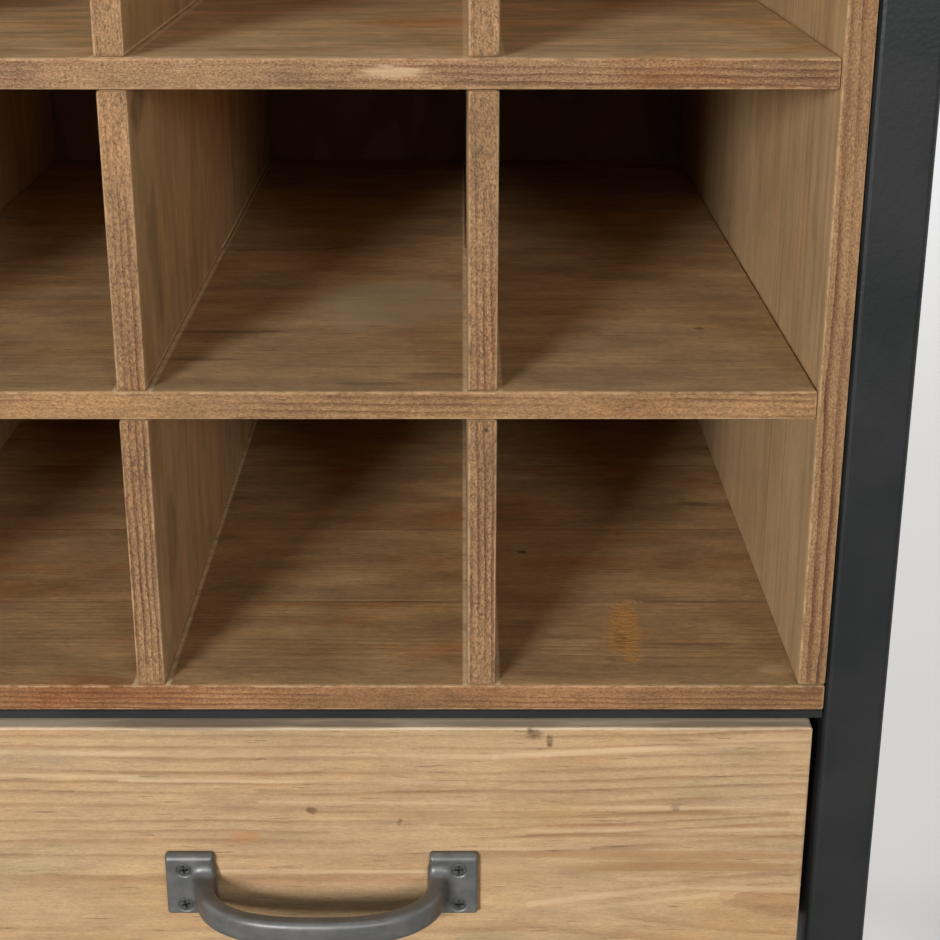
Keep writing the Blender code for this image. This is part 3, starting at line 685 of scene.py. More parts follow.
for number, (name, joints) in enumerate(upright_joints.items()):
    inside = name.startswith("divider")
    # painted light: a pale line along the foot of each divider, where it meets a floor
    glue = tuple((2, top + 0.7, CORNER_LIGHT_HALF, PAINTED_CORNER_LIGHT, CORNER_LIGHT_SHARE) for top in tops.values()) if inside else ()
    heart = (-188 + 8 * number, 26 + 4 * number, 0.008)
    fir(name, STANDING if inside else OUTSIDE, "zyx", 400 + 37 * number, tuple(depth(j) for j in joints),
        heart, marks=upright_marks.get(name, ()), bands=glue)
fir("top_board", OUTSIDE, "xyz", 700, tuple(depth(j) for j in (78, 161, 240, 322)), (30, -40, 0.012))
print(f"{len(upright_joints)} upright boards and the top")

# %% [markdown]
# ## The drawer
# The drawer's front is one board of paler fir with straight grain. Low on the right its growth lines close
# into a flame that points left. Its top edge has greyed from hands. Its top face is pale from wear and from
# painted light, and behind that it carries painted shade from the steel above.

# %% Dress the drawer
drawer_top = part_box("drawer_front")[1].z * MM
face = front_y * MM
NICK = screen(84, 58, 38)
GREYED = screen(196, 176, 148)
# a pale worn tint, made paler still as painted light on the shaded top face
WORN_TOP_PAINTED_LIGHT = screen(238, 214, 182)
# painted shade: the shadow of the steel above, on the back of the drawer's top face
SHADE_UNDER_STEEL = screen(106, 91, 77)
DARKER = screen(160, 122, 80)
drawer_marks = (
    ((-25.5, face, 260), (7, 2, 3), screen(186, 124, 80), 0.45),
    # pale wear and painted light on the drawer's top face, which the steel above shades
    ((0, face + 6, drawer_top), (400, 9.5, 1.2), WORN_TOP_PAINTED_LIGHT, 0.85),
    # painted shade under the steel, on the back of the top face
    ((0, face + 9.5, drawer_top), (400, 5.0, 1.2), SHADE_UNDER_STEEL, 0.80),
    ((-20, face, 300.8), (90, 3, 1.1), GREYED, 0.60),
    ((95, face, 300.9), (60, 3, 0.9), GREYED, 0.50),
    ((-40, face + 2, 301.2), (46, 6, 1.3), NICK, 0.45),
    ((10, face + 2, 301.2), (22, 4, 0.9), NICK, 0.35),
    ((58, face + 2, 301.2), (30, 4, 0.7), NICK, 0.30),
    ((134, face + 2, 301.2), (40, 4, 0.8), NICK, 0.34),
    ((118, face, 252.6), (66, 2, 2.2), DARKER, 0.62),
    ((120, face, 248.2), (58, 2, 2.6), screen(158, 118, 76), 0.64),
    ((60, face, 268), (80, 2, 1.2), DARKER, 0.35),
    ((60, face, 246), (24, 2, 6), screen(196, 160, 116), 0.30),
    ((70.6, face, 299.2), (3.6, 2, 2.6), NICK, 0.55),
    ((75.9, face, 296.4), (1.5, 2, 3.2), NICK, 0.50),
    ((-2.8, face, 270.2), (2.6, 2, 1.8), NICK, 0.55),
    ((118.2, face, 271.0), (2.2, 2, 1.7), NICK, 0.40),
)
nicks = (
    ((69.4, 300.4), (71.0, 298.0)), ((75.7, 297.6), (76.2, 295.0)), ((-3.9, 270.8), (-2.6, 269.4)),
    ((26.6, 266.2), (26.2, 264.9)), ((117.4, 271.4), (118.8, 270.6)),
)
drawer_strokes = tuple(((x, face, z), (u, face, w), 1.1, NICK, 0.6) for (x, z), (u, w) in nicks)
pale_lines = (
    ((-170, 293.0), (-20, 291.0), 1.3, 0.46), ((-20, 291.0), (58, 290.4), 1.3, 0.46),
    ((58, 290.4), (160, 296.6), 1.5, 0.62), ((-66, 281.6), (48, 280.6), 1.0, 0.46),
    ((72, 271.6), (162, 270.8), 1.0, 0.46), ((70, 262.4), (162, 262.8), 0.9, 0.42),
    ((-37, 246.6), (36, 246.3), 1.0, 0.54), ((-162, 284.2), (-60, 283.0), 0.9, 0.40),
    ((36, 255.0), (90, 255.6), 0.8, 0.34), ((-20, 273.4), (60, 272.8), 0.8, 0.36),
    ((70, 233.6), (122, 240.6), 1.7, 0.44), ((122, 240.6), (172, 238.4), 1.5, 0.40),
    ((84, 231.0), (134, 237.4), 1.2, 0.34), ((100, 243.6), (160, 243.0), 0.9, 0.30),
)
dark_lines = (
    ((-66, 284.6), (60, 284.0), 0.9, 0.34), ((-20, 277.6), (110, 277.0), 0.9, 0.36),
    ((-4, 269.6), (156, 269.0), 1.0, 0.48), ((40, 264.8), (156, 264.2), 1.0, 0.46),
    ((69, 260.6), (156, 260.2), 1.0, 0.46), ((-160, 273.0), (-40, 272.0), 1.0, 0.40),
)
for lines, tint in ((dark_lines, screen(142, 104, 68)), (pale_lines, PALE["worn"])):
    drawer_strokes += tuple(((x, face, z), (u, face, w), width, tint, share)
                            for (x, z), (u, w), width, share in lines)
fir("drawer_front", PALE, "xzy", 900, (), (-9, 15, 0.0), tone_and_painted_light=0.94, flame=(60, 175, 5), marks=drawer_marks,
    strokes=drawer_strokes)
drawer_walls = (("drawer_side_left", "yzx"), ("drawer_side_right", "yzx"), ("drawer_back", "xzy"))
for number, (name, axes) in enumerate(drawer_walls):
    fir(name, PALE, axes, 940 + 17 * number, (), (20, 24, 0.02), False)
print("drawer front, sides and back")

# %% [markdown]
# ## Thin plywood
# The back, the bay's back and the drawer's bottom are thin plywood. A veneer is peeled round the log, so
# its rings make wide soft waves, and the cut edge shows the plies. The side that closes the cells is stained
# as brown as they are.

# %% Dress the plywood
def plywood(node, axes, seed, stain=None):
    """The finish of one thin sheet. A stain colours its front side."""
    low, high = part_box(node)
    thin = "xyz".index(axes[2])
    finish = Finish(f"plywood_{node}", Specular_IOR_Level=0.3)
    along, wide, deep = along_board(finish, axes)
    place = finish.vector(along, wide, deep)
    hill = finish.lumps(place, (260, 80, 400), seed, 3, 0.45)
    turn = (hill * 9).maths("FRACT")
    line = finish.steps(turn, 0.2, 0.9) * finish.steps(turn, 1.0, 0.92)
    fibre = fibres(finish, place, seed)
    colour = finish.mix(line * 0.5, screen(204, 172, 130), screen(166, 124, 84))
    colour = finish.scaled(colour, fibre * 0.25 + 1.0)
    if stain:
        front = finish.steps(finish.xyz[1] - low.y * MM, 0.9, 0.3)
        colour = finish.mix(front, colour, stain, "MULTIPLY")
    through = (deep - low[thin] * MM) / ((high - low)[thin] * MM)
    away = arris_distance(finish, low, high)
    ply = finish.steps((through * 1.5).maths("FRACT").maths("SUBTRACT", 0.5).maths("ABSOLUTE"), 0.2, 0.28)
    colour = finish.mix(finish.steps(away, 0.9, 0.6) * ply * 0.4, colour, screen(120, 84, 52))
    dress(node, finish.close(colour, finish.steps(fibre, -0.6, 0.6, 0.8, 0.64), fibre, 0.08))


plywood("back_panel", "zxy", 31, (0.42, 0.36, 0.32, 1))
plywood("bay_back", "xzy", 47)
plywood("drawer_bottom", "xyz", 53)
print("3 plywood panels")

# %% [markdown]
# ## Black steel
# The frame is mild steel tube under a black powder coat. The coat lies like the skin of an orange: soft
# lumps of a millimetre or two. Handling has polished some places and greyed others.

# %% Coat the frame
def coated_steel():
    finish = Finish("black_steel", Metallic=0.0, Specular_IOR_Level=0.3)
    peel = finish.lumps(finish.place, (1.6, 1.6, 1.6), 5, 2)
    dust = finish.lumps(finish.place, (34, 34, 34), 7, 4)
    grit = finish.lumps(finish.place, (0.5, 0.5, 0.5), 9, 2)
    colour = finish.mix(finish.steps(dust, 0.4, 0.75), screen(15, 17, 18), screen(30, 30, 30))
    colour = finish.mix(finish.steps(grit, 0.68, 0.8, 0, 0.5), colour, screen(70, 68, 66))
    return finish.close(colour, finish.steps(dust, 0.3, 0.7, 0.42, 0.56), peel, 0.12)


black_steel = coated_steel()
steel_names = [n for n in nodes if n.startswith(("post_", "lower_rail", "middle_rail", "top_rail"))]
for name in steel_names:
    dress(name, black_steel)
print(f"{len(steel_names)} pieces of black steel")

# %% [markdown]
# ## Zinc, plastic and dark screws
# The slides are rolled from zinc-plated strip, with faint lines along their length. The feet are moulded
# black plastic. The screws are dark zinc, a little scratched by the driver.

# %% Finish the small parts
def zinc_strip():
    finish = Finish("zinc_plate", Metallic=1.0)
    roll = finish.lumps(finish.place, (0.6, 60, 0.6), 3, 3, 0.6)
    bloom = finish.lumps(finish.place, (6, 6, 6), 4, 4, 0.6)
    colour = finish.mix(finish.steps(bloom, 0.4, 0.7), screen(196, 198, 201), screen(168, 170, 172))
    return finish.close(colour, roll * 0.2 + finish.steps(bloom, 0.3, 0.7, 0.2, 0.34), roll, 0.02)


def moulded_plastic():
    finish = Finish("black_plastic", Specular_IOR_Level=0.45)
    grain = finish.lumps(finish.place, (0.4, 0.4, 0.4), 6, 2)
    scuff = finish.lumps(finish.place, (5, 5, 1.5), 8, 4, 0.7)
    colour = finish.mix(finish.steps(scuff, 0.55, 0.75), screen(26, 26, 27), screen(58, 57, 55))
    return finish.close(colour, finish.steps(scuff, 0.4, 0.7, 0.5, 0.68), grain, 0.05)


def dark_zinc():
    finish = Finish("dark_screw", Metallic=0.6)
    patch = finish.lumps(finish.place, (1.1, 1.1, 1.1), 12, 3, 0.6)
    scratch = finish.lumps(finish.place, (0.2, 0.2, 1.2), 14, 3, 0.7)
    colour = finish.mix(finish.steps(patch, 0.4, 0.7), screen(64, 65, 66), screen(90, 89, 86))
    colour = finish.mix(finish.steps(scratch, 0.62, 0.75, 0, 0.6), colour, screen(126, 124, 120))
    return finish.close(colour, finish.steps(patch, 0.3, 0.7, 0.4, 0.55), scratch, 0.02)


zinc_plate = zinc_strip()
black_plastic = moulded_plastic()
dark_screw = dark_zinc()
for name in nodes:
    if name.startswith("slide_"):
        dress(name, zinc_plate)
    elif name.startswith("foot_"):
        dress(name, black_plastic)
    elif "_screw_" in name:
        dress(name, dark_screw)
print("slides, feet and screws")


# %% [markdown]
# ## Geometry Nodes in a script
# Each tree is built here with named inputs for its sizes. An input is set by its socket's identifier before
# the object is first evaluated. The result is copied into a plain mesh and the modifier goes, so the piece
# that rides on a body is a mesh like any other.

# %% Wrap a geometry tree
class Shape(Tree):
    """A Geometry Nodes tree with named inputs and one geometry output."""

    def __init__(self, name, inputs):
        super().__init__(bpy.data.node_groups.new(name, "GeometryNodeTree"))
        face = self.tree.interface
        face.new_socket("Geometry", in_out="INPUT", socket_type="NodeSocketGeometry")
        face.new_socket("Geometry", in_out="OUTPUT", socket_type="NodeSocketGeometry")
        self.names = {}
        for key, kind in inputs.items():
            self.names[key] = face.new_socket(key, in_out="INPUT", socket_type=f"NodeSocket{kind}").identifier
        start = self.tree.nodes.new("NodeGroupInput")
        self.inputs = {s.name: Value(self, s) for s in start.outputs if s.name}
        self.end = self.tree.nodes.new("NodeGroupOutput")

    def close(self, geometry, material):
        """Ends the tree in Realize Instances and Set Material."""
        real = self.node("GeometryNodeRealizeInstances", None, (geometry,))
        coated = self.node("GeometryNodeSetMaterial", None, {"Geometry": real, "Material": material})
        self.tree.links.new(coated.socket, self.end.inputs[0])


def plain_mesh(name, shape, settings, points=(), edges=()):
    """Runs a tree on some points or edges, and keeps its result as a plain mesh."""
    holder = bpy.data.objects.new(name, bpy.data.meshes.new(name))
    holder.data.from_pydata([tuple(p) for p in points], edges, [])
    bpy.context.scene.collection.objects.link(holder)
    modifier = holder.modifiers.new("shape", "NODES")
    modifier.node_group = shape.tree
    for key, value in settings.items():
        modifier[shape.names[key]] = value
    graph = bpy.context.evaluated_depsgraph_get()
    made = holder.evaluated_get(graph)
    mesh = bpy.data.meshes.new_from_object(made, preserve_all_data_layers=True, depsgraph=graph)
    holder.modifiers.clear()
    holder.data = mesh
    mesh.name = name
    print(f"{name}: {len(mesh.polygons)} faces")
    return holder


# %% [markdown]
# ## The pull
# The pull is one casting: a bow that bends like a flattened arch and runs with soft fillets into two small
# plates. Joining two bodies with a fillet is hard in a mesh and easy in a field of distances, where a smooth
# minimum does it. So the tree fills a block with the distance from the pull's surface, cuts the countersinks
# in the same sum, and turns the zero line into a mesh.

# %% Cast the gunmetal finish
def gunmetal():
    finish = Finish("gunmetal_paint", Metallic=0.5)
    cast = finish.lumps(finish.place, (1.4, 1.4, 1.4), 21, 3, 0.55)
    fine = finish.lumps(finish.place, (0.35, 0.35, 0.35), 22, 2)
    rub = finish.lumps(finish.place, (8, 8, 5), 23, 4, 0.6)
    colour = finish.mix(finish.steps(rub, 0.35, 0.7), screen(88, 88, 86), screen(104, 103, 100))
    colour = finish.mix(finish.steps(fine, 0.66, 0.8, 0, 0.3), colour, screen(140, 141, 140))
    return finish.close(colour, finish.steps(rub, 0.3, 0.7, 0.38, 0.46), cast * 0.7 + fine * 0.3, 0.035)


gunmetal_paint = gunmetal()

# %% Name the pull's sizes
PULL_SIZES = {
    "Bow span": 0.0788,
    "Bow reach": 0.0284,
    "Bow thickness": 0.0060,
    "Bow height": 0.0092,
    "Bow edge": 0.0022,
    "Bow flare": 0.0034,
    "Fillet": 0.0034,
    "Plate width": 0.0160,
    "Plate height": 0.0230,
    "Plate rise": 0.0011,
    "Plate thickness": 0.0033,
    "Plate edge": 0.0009,
    "Plate top round": 0.0024,
    "Screw spacing": 0.0135,
    "Screw inset": 0.0062,
    "Screw head": 0.0054,
}
BOW_POINTS = 121
BOW_POWER = 2.6
FLARE_LENGTH = 0.0042  # the bow's flare dies away over this much of its reach
TOP_SLOPE = 0.7
SINK_DEPTH = 0.0011  # of a countersink, which narrows as much
SINK_SLOPE = 0.8
SINK_MOST = 0.0013
SINK_ABOVE = 0.0004
BACK_GAP = 0.0003  # between the casting and the drawer
FIELD_REACH = 0.004  # the density falls by 1 over this distance
PULL_VOXEL = 0.00032
PULL_MARGIN = 0.0015
print(f"{len(PULL_SIZES)} sizes of the pull")


# %% Write the sums of distances
def smooth_least(tree, first, second, reach):
    """The smaller of two distances, with a fillet where they are nearly equal."""
    blend = (reach - (first - second).maths("ABSOLUTE")).maths("MAXIMUM", 0.0) / reach
    return first.maths("MINIMUM", second) - blend * blend * reach * 0.25


def bow_line(tree, span, reach):
    """The middle line of the bow, from one plate to the other."""
    line = tree.node("GeometryNodeMeshLine", None, {"Count": BOW_POINTS})
    turn = tree.node("GeometryNodeInputIndex") * (math.pi / (BOW_POINTS - 1))
    cosine, sine = turn.maths("COSINE"), turn.maths("SINE")
    along = cosine.maths("SIGN") * cosine.maths("ABSOLUTE") ** (2 / BOW_POWER) * span * 0.5
    out = sine.maths("ABSOLUTE") ** (2 / BOW_POWER) * reach
    bent = {"Geometry": line, "Position": tree.vector(along, out, 0.0)}
    return tree.node("GeometryNodeSetPosition", None, bent)


def rounded_block(tree, offsets, halves, edge):
    """Distance from a block with rounded edges."""
    sides = [offset.maths("ABSOLUTE") - (half - edge) for offset, half in zip(offsets, halves)]
    outside = [side.maths("MAXIMUM", 0.0) for side in sides]
    far = sum((side * side for side in outside[1:]), outside[0] * outside[0]).maths("SQRT")
    nearest = sides[0]
    for side in sides[1:]:
        nearest = nearest.maths("MAXIMUM", side)
    return far + nearest.maths("MINIMUM", 0.0) - edge


print("smooth_least, bow_line and rounded_block are ready")

# %% Describe the pull as distances
pull = Shape("pull", {key: "Float" for key in PULL_SIZES})
size = pull.inputs
x, y, z = pull.parts(pull.node("GeometryNodeInputPosition"))
across = x - pull_middle.x
out = front_y - y
up = z - pull_middle.z + size["Plate rise"]
height = size["Bow height"] + size["Bow flare"] * 2 * (out / -FLARE_LENGTH).maths("EXPONENT")
target = bow_line(pull, size["Bow span"], size["Bow reach"])
near = {"Target": target, "Source Position": pull.vector(across, out, 0.0)}
aside = pull.node("GeometryNodeProximity", {"target_element": "EDGES"}, near, "Distance")
bow = rounded_block(pull, (aside, up), (size["Bow thickness"] * 0.5, height * 0.5), size["Bow edge"])
plate_x = across.maths("ABSOLUTE") - ((pull_high.x - pull_low.x) / 2 - size["Plate width"] * 0.5)
plate_halves = (size["Plate width"] * 0.5, size["Plate thickness"], size["Plate height"] * 0.5)
level = up - size["Plate rise"]
near_top = (level - size["Plate height"] * 0.5 + size["Plate top round"]).maths("MAXIMUM", 0.0)
drop = near_top * near_top / size["Plate top round"] * TOP_SLOPE
plate = rounded_block(pull, (plate_x, out + drop, level), plate_halves, size["Plate edge"])
solid = smooth_least(pull, bow, plate, size["Fillet"])
hole_x = across.maths("ABSOLUTE") - ((pull_high.x - pull_low.x) / 2 - size["Screw inset"])
hole_z = up.maths("ABSOLUTE") - size["Screw spacing"] * 0.5
hole_far = (hole_x * hole_x + hole_z * hole_z).maths("SQRT")
sink = (out - (size["Plate thickness"] - SINK_DEPTH)).maths("MAXIMUM", 0.0).maths("MINIMUM", SINK_MOST)
hole = (hole_far - (size["Screw head"] * 0.5 - SINK_DEPTH) - sink) * SINK_SLOPE
hole = hole.maths("MAXIMUM", out - size["Plate thickness"] - SINK_ABOVE)
solid = solid.maths("MAXIMUM", -hole).maths("MAXIMUM", BACK_GAP - out)
low = pull_low - Vector((PULL_MARGIN,) * 3)
high = pull_high + Vector((PULL_MARGIN,) * 3)
cells = [int(round((b - a) / PULL_VOXEL)) for a, b in zip(low, high)]
block = {"Density": 0.5 - solid / FIELD_REACH, "Min": low, "Max": high}
block.update({"Resolution X": cells[0], "Resolution Y": cells[1], "Resolution Z": cells[2]})
volume = pull.node("GeometryNodeVolumeCube", None, block)
skin = pull.node("GeometryNodeVolumeToMesh", None, {"Volume": volume, "Threshold": 0.5})
pull.close(pull.node("GeometryNodeSetShadeSmooth", None, {"Geometry": skin}), gunmetal_paint)
print(f"block of {cells} cells of {PULL_VOXEL * MM} mm")

# %% Cast the pull
pull_piece = plain_mesh("pull_casting", pull, PULL_SIZES)
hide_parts("drawer_pull")
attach(pull_piece, "drawer")
print("pull box", [tuple(round(v, 4) for v in corner) for corner in pull_piece.bound_box][::6])

# %% [markdown]
# ## Screws
# The pull is held by four countersunk screws with crossed slots, and pan-head screws hold the rack and the
# top to the steel. A screw head is modelled once, as a turned rim with a cross pressed into it. A tree puts
# it on every place and turns each one by its own angle, as screws end up.

# %% Shape one screw head
CROSS_ARM = 0.00155
CROSS_HALF = 0.00036
CROSS_DEPTH = 0.0012
CROSS_TAPER = (0.55, 0.7)
HEAD_SIDES = 48
BRAD_SIDES = 12


def cross_loop(shape, arm, half, height):
    """The twelve corners of a cross, as new vertices."""
    corner = ((arm, half), (half, half), (half, arm), (-half, arm), (-half, half), (-arm, half))
    return [shape.verts.new((x, y, height)) for x, y in corner + tuple((-x, -y) for x, y in corner)]


def skin_loops(shape, lower, upper):
    """Quads between two loops of the same count."""
    for i in range(len(lower)):
        j = (i + 1) % len(lower)
        shape.faces.new((lower[i], lower[j], upper[j], upper[i]))


def turned_loops(shape, profile, sides):
    """Loops of vertices for (radius, height) pairs, closed below and skinned."""
    turns = [2 * math.pi * i / sides for i in range(sides)]
    loops = [[shape.verts.new((r * math.cos(a), r * math.sin(a), height)) for a in turns]
             for r, height in profile]
    shape.faces.new(list(reversed(loops[0])))
    for lower, upper in zip(loops, loops[1:]):
        skin_loops(shape, lower, upper)
    return loops


def kept_head(name, shape):
    """The head as an object outside the scene, for a tree to place."""
    bmesh.ops.recalc_face_normals(shape, faces=shape.faces)
    mesh = bpy.data.meshes.new(name)
    shape.to_mesh(mesh)
    shape.free()
    mesh.materials.append(dark_screw)
    print(f"{name}: {len(mesh.polygons)} faces")
    return bpy.data.objects.new(name, mesh)


def screw_head(name, profile, scale=1.0):
    """A head whose rim follows (radius, height) pairs from its tip to its flat top, with a cross in it."""
    shape = bmesh.new()
    rim = turned_loops(shape, profile, HEAD_SIDES)[-1]
    top = profile[-1][1]
    mouth = cross_loop(shape, CROSS_ARM * scale, CROSS_HALF * scale, top)
    edges = [shape.edges.get(pair) or shape.edges.new(pair)
             for loop in (rim, mouth) for pair in zip(loop, loop[1:] + loop[:1])]
    bmesh.ops.triangle_fill(shape, use_beauty=True, edges=edges, normal=(0, 0, 1))
    arm, half = CROSS_ARM * CROSS_TAPER[0] * scale, CROSS_HALF * CROSS_TAPER[1] * scale
    floor_loop = cross_loop(shape, arm, half, top - CROSS_DEPTH * scale)
    skin_loops(shape, floor_loop, mouth)
    shape.faces.new(floor_loop)
    return kept_head(name, shape)


def brad_head(name, profile):
    """A small nail head without a slot."""
    shape = bmesh.new()
    shape.faces.new(turned_loops(shape, profile, BRAD_SIDES)[-1])
    return kept_head(name, shape)


SUNK_PROFILE = ((0.0004, -0.0158), (0.0009, -0.0152), (0.0013, -0.0140), (0.0013, -0.0018), (0.0020, -0.0010),
                (0.00245, -0.0003), (0.0025, -0.0001), (0.0024, 0.0), (0.0021, 0.0001))
FLAT_PROFILE = ((0.0006, -0.0096), (0.0011, -0.0088), (0.0016, -0.0080), (0.0016, -0.0020), (0.0032, -0.0004),
                (0.0034, -0.0001), (0.0033, 0.0))
PAN_PROFILE = ((0.0017, -0.0180), (0.0017, 0.0), (0.0033, 0.0001), (0.0034, 0.0007), (0.0032, 0.0014),
               (0.0028, 0.0020), (0.0022, 0.0023))
LOW_PROFILE = ((0.0032, -0.0002), (0.0034, 0.0005), (0.0033, 0.0012), (0.0028, 0.0018), (0.0022, 0.0021))
BRAD_PROFILE = ((0.0013, -0.0004), (0.0013, 0.0), (0.0011, 0.00018), (0.0006, 0.00025))
sunk_head = screw_head("sunk_head", SUNK_PROFILE)
flat_head = screw_head("flat_head", FLAT_PROFILE, 1.3)
pan_head = screw_head("pan_head", PAN_PROFILE, 1.15)
low_head = screw_head("low_head", LOW_PROFILE, 1.15)
small_head = brad_head("small_head", BRAD_PROFILE)

# %% Put the heads in place
driven = Shape("driven_screws", {"Head": "Object", "Lean": "Vector", "Seed": "Int"})
seen_head = driven.node("GeometryNodeObjectInfo", None, {"Object": driven.inputs["Head"]}, "Geometry")
any_turn = {2: -math.pi, 3: math.pi, "Seed": driven.inputs["Seed"]}
spin = driven.node("FunctionNodeRandomValue", {"data_type": "FLOAT"}, any_turn, 1)
lean = driven.node("FunctionNodeEulerToRotation", None, (driven.inputs["Lean"],))
spun = driven.node("FunctionNodeEulerToRotation", None, (driven.vector(0.0, 0.0, spin),))
turn = driven.node("FunctionNodeRotateRotation", {"rotation_space": "LOCAL"}, (lean, spun))
places = {"Points": driven.inputs["Geometry"], "Instance": seen_head, "Rotation": turn}
driven.close(driven.node("GeometryNodeInstanceOnPoints", None, places), dark_screw)
SIDES = ("left", "right")
HEAD_LIFT = 0.0001
PAN_HEIGHT = 0.0023


def drive_screws(name, head, lean, seed, places):
    """One piece of screw heads with their middles on these places."""
    piece = plain_mesh(name, driven, {"Head": head, "Lean": lean, "Seed": seed}, places)
    return piece


def middle_of(node):
    low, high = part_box(node)
    return (low + high) / 2


FORWARD, BACKWARD, DOWNWARD = (math.pi / 2, 0, 0), (-math.pi / 2, 0, 0), (math.pi, 0, 0)
pull_screw_nodes = [f"pull_screw_{end}_{side}" for end in ("upper", "lower") for side in SIDES]
sunk_places = [(middle_of(name).x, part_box(name)[0].y + HEAD_LIFT, middle_of(name).z)
               for name in pull_screw_nodes]
pull_screws = drive_screws("pull_screw_heads", sunk_head, FORWARD, 5, sunk_places)
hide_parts(*pull_screw_nodes)
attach(pull_screws, "drawer")
for use, head, drop in (("rack", flat_head, 0.0), ("top", pan_head, PAN_HEIGHT)):
    screw_nodes = [f"{use}_screw_{end}_{side}" for end in ("front", "back") for side in SIDES]
    places = [(middle_of(name).x, middle_of(name).y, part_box(name)[0].z + drop) for name in screw_nodes]
    heads = drive_screws(f"{use}_screw_heads", head, DOWNWARD, len(use), places)
    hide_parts(*screw_nodes)
    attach(heads, "cabinet")

SLIDE_SCREWS = (-0.128, 0.0, 0.150)
SLIDE_STEEL = 0.0012
for side, lean in zip(SIDES, ((0, -math.pi / 2, 0), (0, math.pi / 2, 0))):
    low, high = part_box(f"slide_inner_{side}")
    web = high.x - SLIDE_STEEL - HEAD_LIFT if side == "left" else low.x + SLIDE_STEEL + HEAD_LIFT
    places = [(web, y, (low.z + high.z) / 2) for y in SLIDE_SCREWS]
    heads = drive_screws(f"slide_screw_heads_{side}", low_head, lean, 8 + len(side), places)
    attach(heads, "drawer")

# %% Nail the back panel
BRAD_INSET = 0.0045
BRAD_SPREAD = 0.034
BRAD_RISE = 0.05
BRAD_SWAY = (0.0008, 0.001)
PANEL_RIM = 0.002
panel_low, panel_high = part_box("back_panel")
rows = [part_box(name)[0].z + BRAD_INSET for name in tops]
columns = [panel_low.x + BRAD_INSET, middle_of("divider_left").x, middle_of("divider_right").x,
           panel_high.x - BRAD_INSET]
rng = random.Random(77)
brad_places = [(x + offset, z) for z in rows for x in columns for offset in (-BRAD_SPREAD, 0, BRAD_SPREAD)]
brad_places += [(x, z + BRAD_RISE) for z in rows[:-1] for x in columns]
brad_places = [(x + rng.uniform(-1, 1) * BRAD_SWAY[0], panel_high.y, z + rng.uniform(-1, 1) * BRAD_SWAY[1])
               for x, z in brad_places if abs(x) < panel_high.x - PANEL_RIM]
brads = drive_screws("back_panel_brads", small_head, BACKWARD, 3, brad_places)
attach(brads, "cabinet")

# %% [markdown]
# ## Weld beads
# Each rail is welded to its posts. The welder grinds the outer faces flush and leaves the corners. A bead is
# a row of small pools, each one frozen over the last, so the tree lays flattened drops along each corner.

# %% Lay the beads
BEAD_SIZES = {"Step": 0.0013, "Size": 0.0015, "Seed": 9}
bead = Shape("weld_bead", {"Step": "Float", "Size": "Float", "Seed": "Int"})
pool = bead.node("GeometryNodeMeshUVSphere", None, {"Segments": 8, "Rings": 5, "Radius": bead.inputs["Size"]})
path = bead.node("GeometryNodeMeshToCurve", None, (bead.inputs["Geometry"],))
row = {"Curve": path, "Length": bead.inputs["Step"]}
pools, lie = bead.node("GeometryNodeCurveToPoints", {"mode": "LENGTH"}, row, ("Points", "Rotation"))
uneven = {0: (0.85, 0.85, 0.5), 1: (1.1, 1.1, 0.75), "Seed": bead.inputs["Seed"]}
swell = bead.node("FunctionNodeRandomValue", {"data_type": "FLOAT_VECTOR"}, uneven, 0)
laid = {"Points": pools, "Instance": pool, "Rotation": lie, "Scale": swell}
drops = bead.node("GeometryNodeInstanceOnPoints", None, laid)
bead.close(bead.node("GeometryNodeSetShadeSmooth", None, (drops,)), black_steel)

CORNER_INSET = 0.0012
corner_points = []


def corner_line(start, end):
    corner_points.extend((Vector(start), Vector(end)))


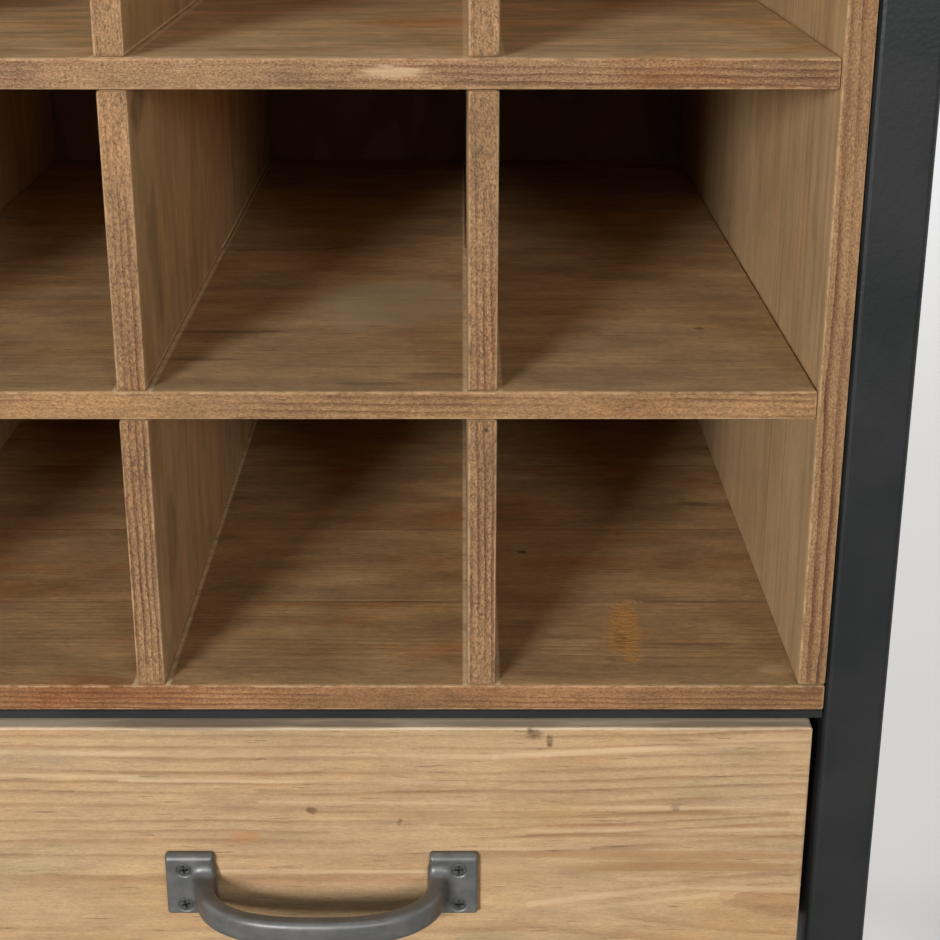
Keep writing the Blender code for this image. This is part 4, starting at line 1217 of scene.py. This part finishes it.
for side in SIDES:
    for end in ("front", "back"):
        post_low, post_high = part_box(f"post_{end}_{side}")
        rail_low, rail_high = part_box(f"lower_rail_{end}")
        inner_x = post_high.x if side == "left" else post_low.x
        inner_y = post_high.y if end == "front" else post_low.y
        along_y = (post_low.y + CORNER_INSET, post_high.y - CORNER_INSET)
        along_x = (post_low.x + CORNER_INSET, post_high.x - CORNER_INSET)
        corner_line((inner_x, along_y[0], rail_low.z), (inner_x, along_y[1], rail_low.z))
        corner_line((along_x[0], inner_y, rail_low.z), (along_x[1], inner_y, rail_low.z))
        corner_line((along_x[0], inner_y, post_high.z), (along_x[1], inner_y, post_high.z))
        if end == "front":
            corner_line((inner_x, along_y[0], rail_high.z), (inner_x, along_y[1], rail_high.z))
pairs = [(i, i + 1) for i in range(0, len(corner_points), 2)]
beads = plain_mesh("weld_beads", bead, BEAD_SIZES, corner_points, pairs)
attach(beads, "cabinet")
print(f"{len(pairs)} beads, {len(brad_places)} brads")

# %% [markdown]
# ## The seals under the rack
# The rack stands on the front and back rails and only just misses the side rails, whose rounded corners
# leave a slot under its edge. A thin round rubber strip is glued into each of the two slots, so the rack
# doesn't rattle and no light comes through.

# %% Lay the seals
SEAL_SIZES = {"Radius": 0.0014, "Step": 0.004}
SEAL_END = 0.0045
seal = Shape("seam_seal", {"Radius": "Float", "Step": "Float"})
middle_line = seal.node("GeometryNodeMeshToCurve", None, (seal.inputs["Geometry"],))
spaced = {"Curve": middle_line, "Length": seal.inputs["Step"]}
middle_line = seal.node("GeometryNodeResampleCurve", {"mode": "LENGTH"}, spaced)
round_cut = {"Resolution": 10, "Radius": seal.inputs["Radius"]}
ring = seal.node("GeometryNodeCurvePrimitiveCircle", None, round_cut)
tube = {"Curve": middle_line, "Profile Curve": ring, "Fill Caps": True}
tube = seal.node("GeometryNodeCurveToMesh", None, tube)
seal.close(seal.node("GeometryNodeSetShadeSmooth", None, {"Geometry": tube}), black_plastic)
seal_points = []
rack_low, rack_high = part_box("rack_bottom")
for side in SIDES:
    rail_low, rail_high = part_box(f"middle_rail_{side}")
    x = (rail_high.x + rack_low.x) / 2 if side == "left" else (rail_low.x + rack_high.x) / 2
    z = rack_low.z - SEAL_SIZES["Radius"]
    seal_points += [Vector((x, rail_low.y + SEAL_END, z)), Vector((x, rail_high.y - SEAL_END, z))]
seals = plain_mesh("seam_seals", seal, SEAL_SIZES, seal_points, [(0, 1), (2, 3)])
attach(seals, "cabinet")

# %% [markdown]
# ## Print the size
# The dressed cabinet stays inside the box of the solids. Both boxes are printed, so they can be compared.

# %% Finish
dressed_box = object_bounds()
for corner, other in zip(solid_box, dressed_box):
    print([round(v, 4) for v in corner], [round(v, 4) for v in other])
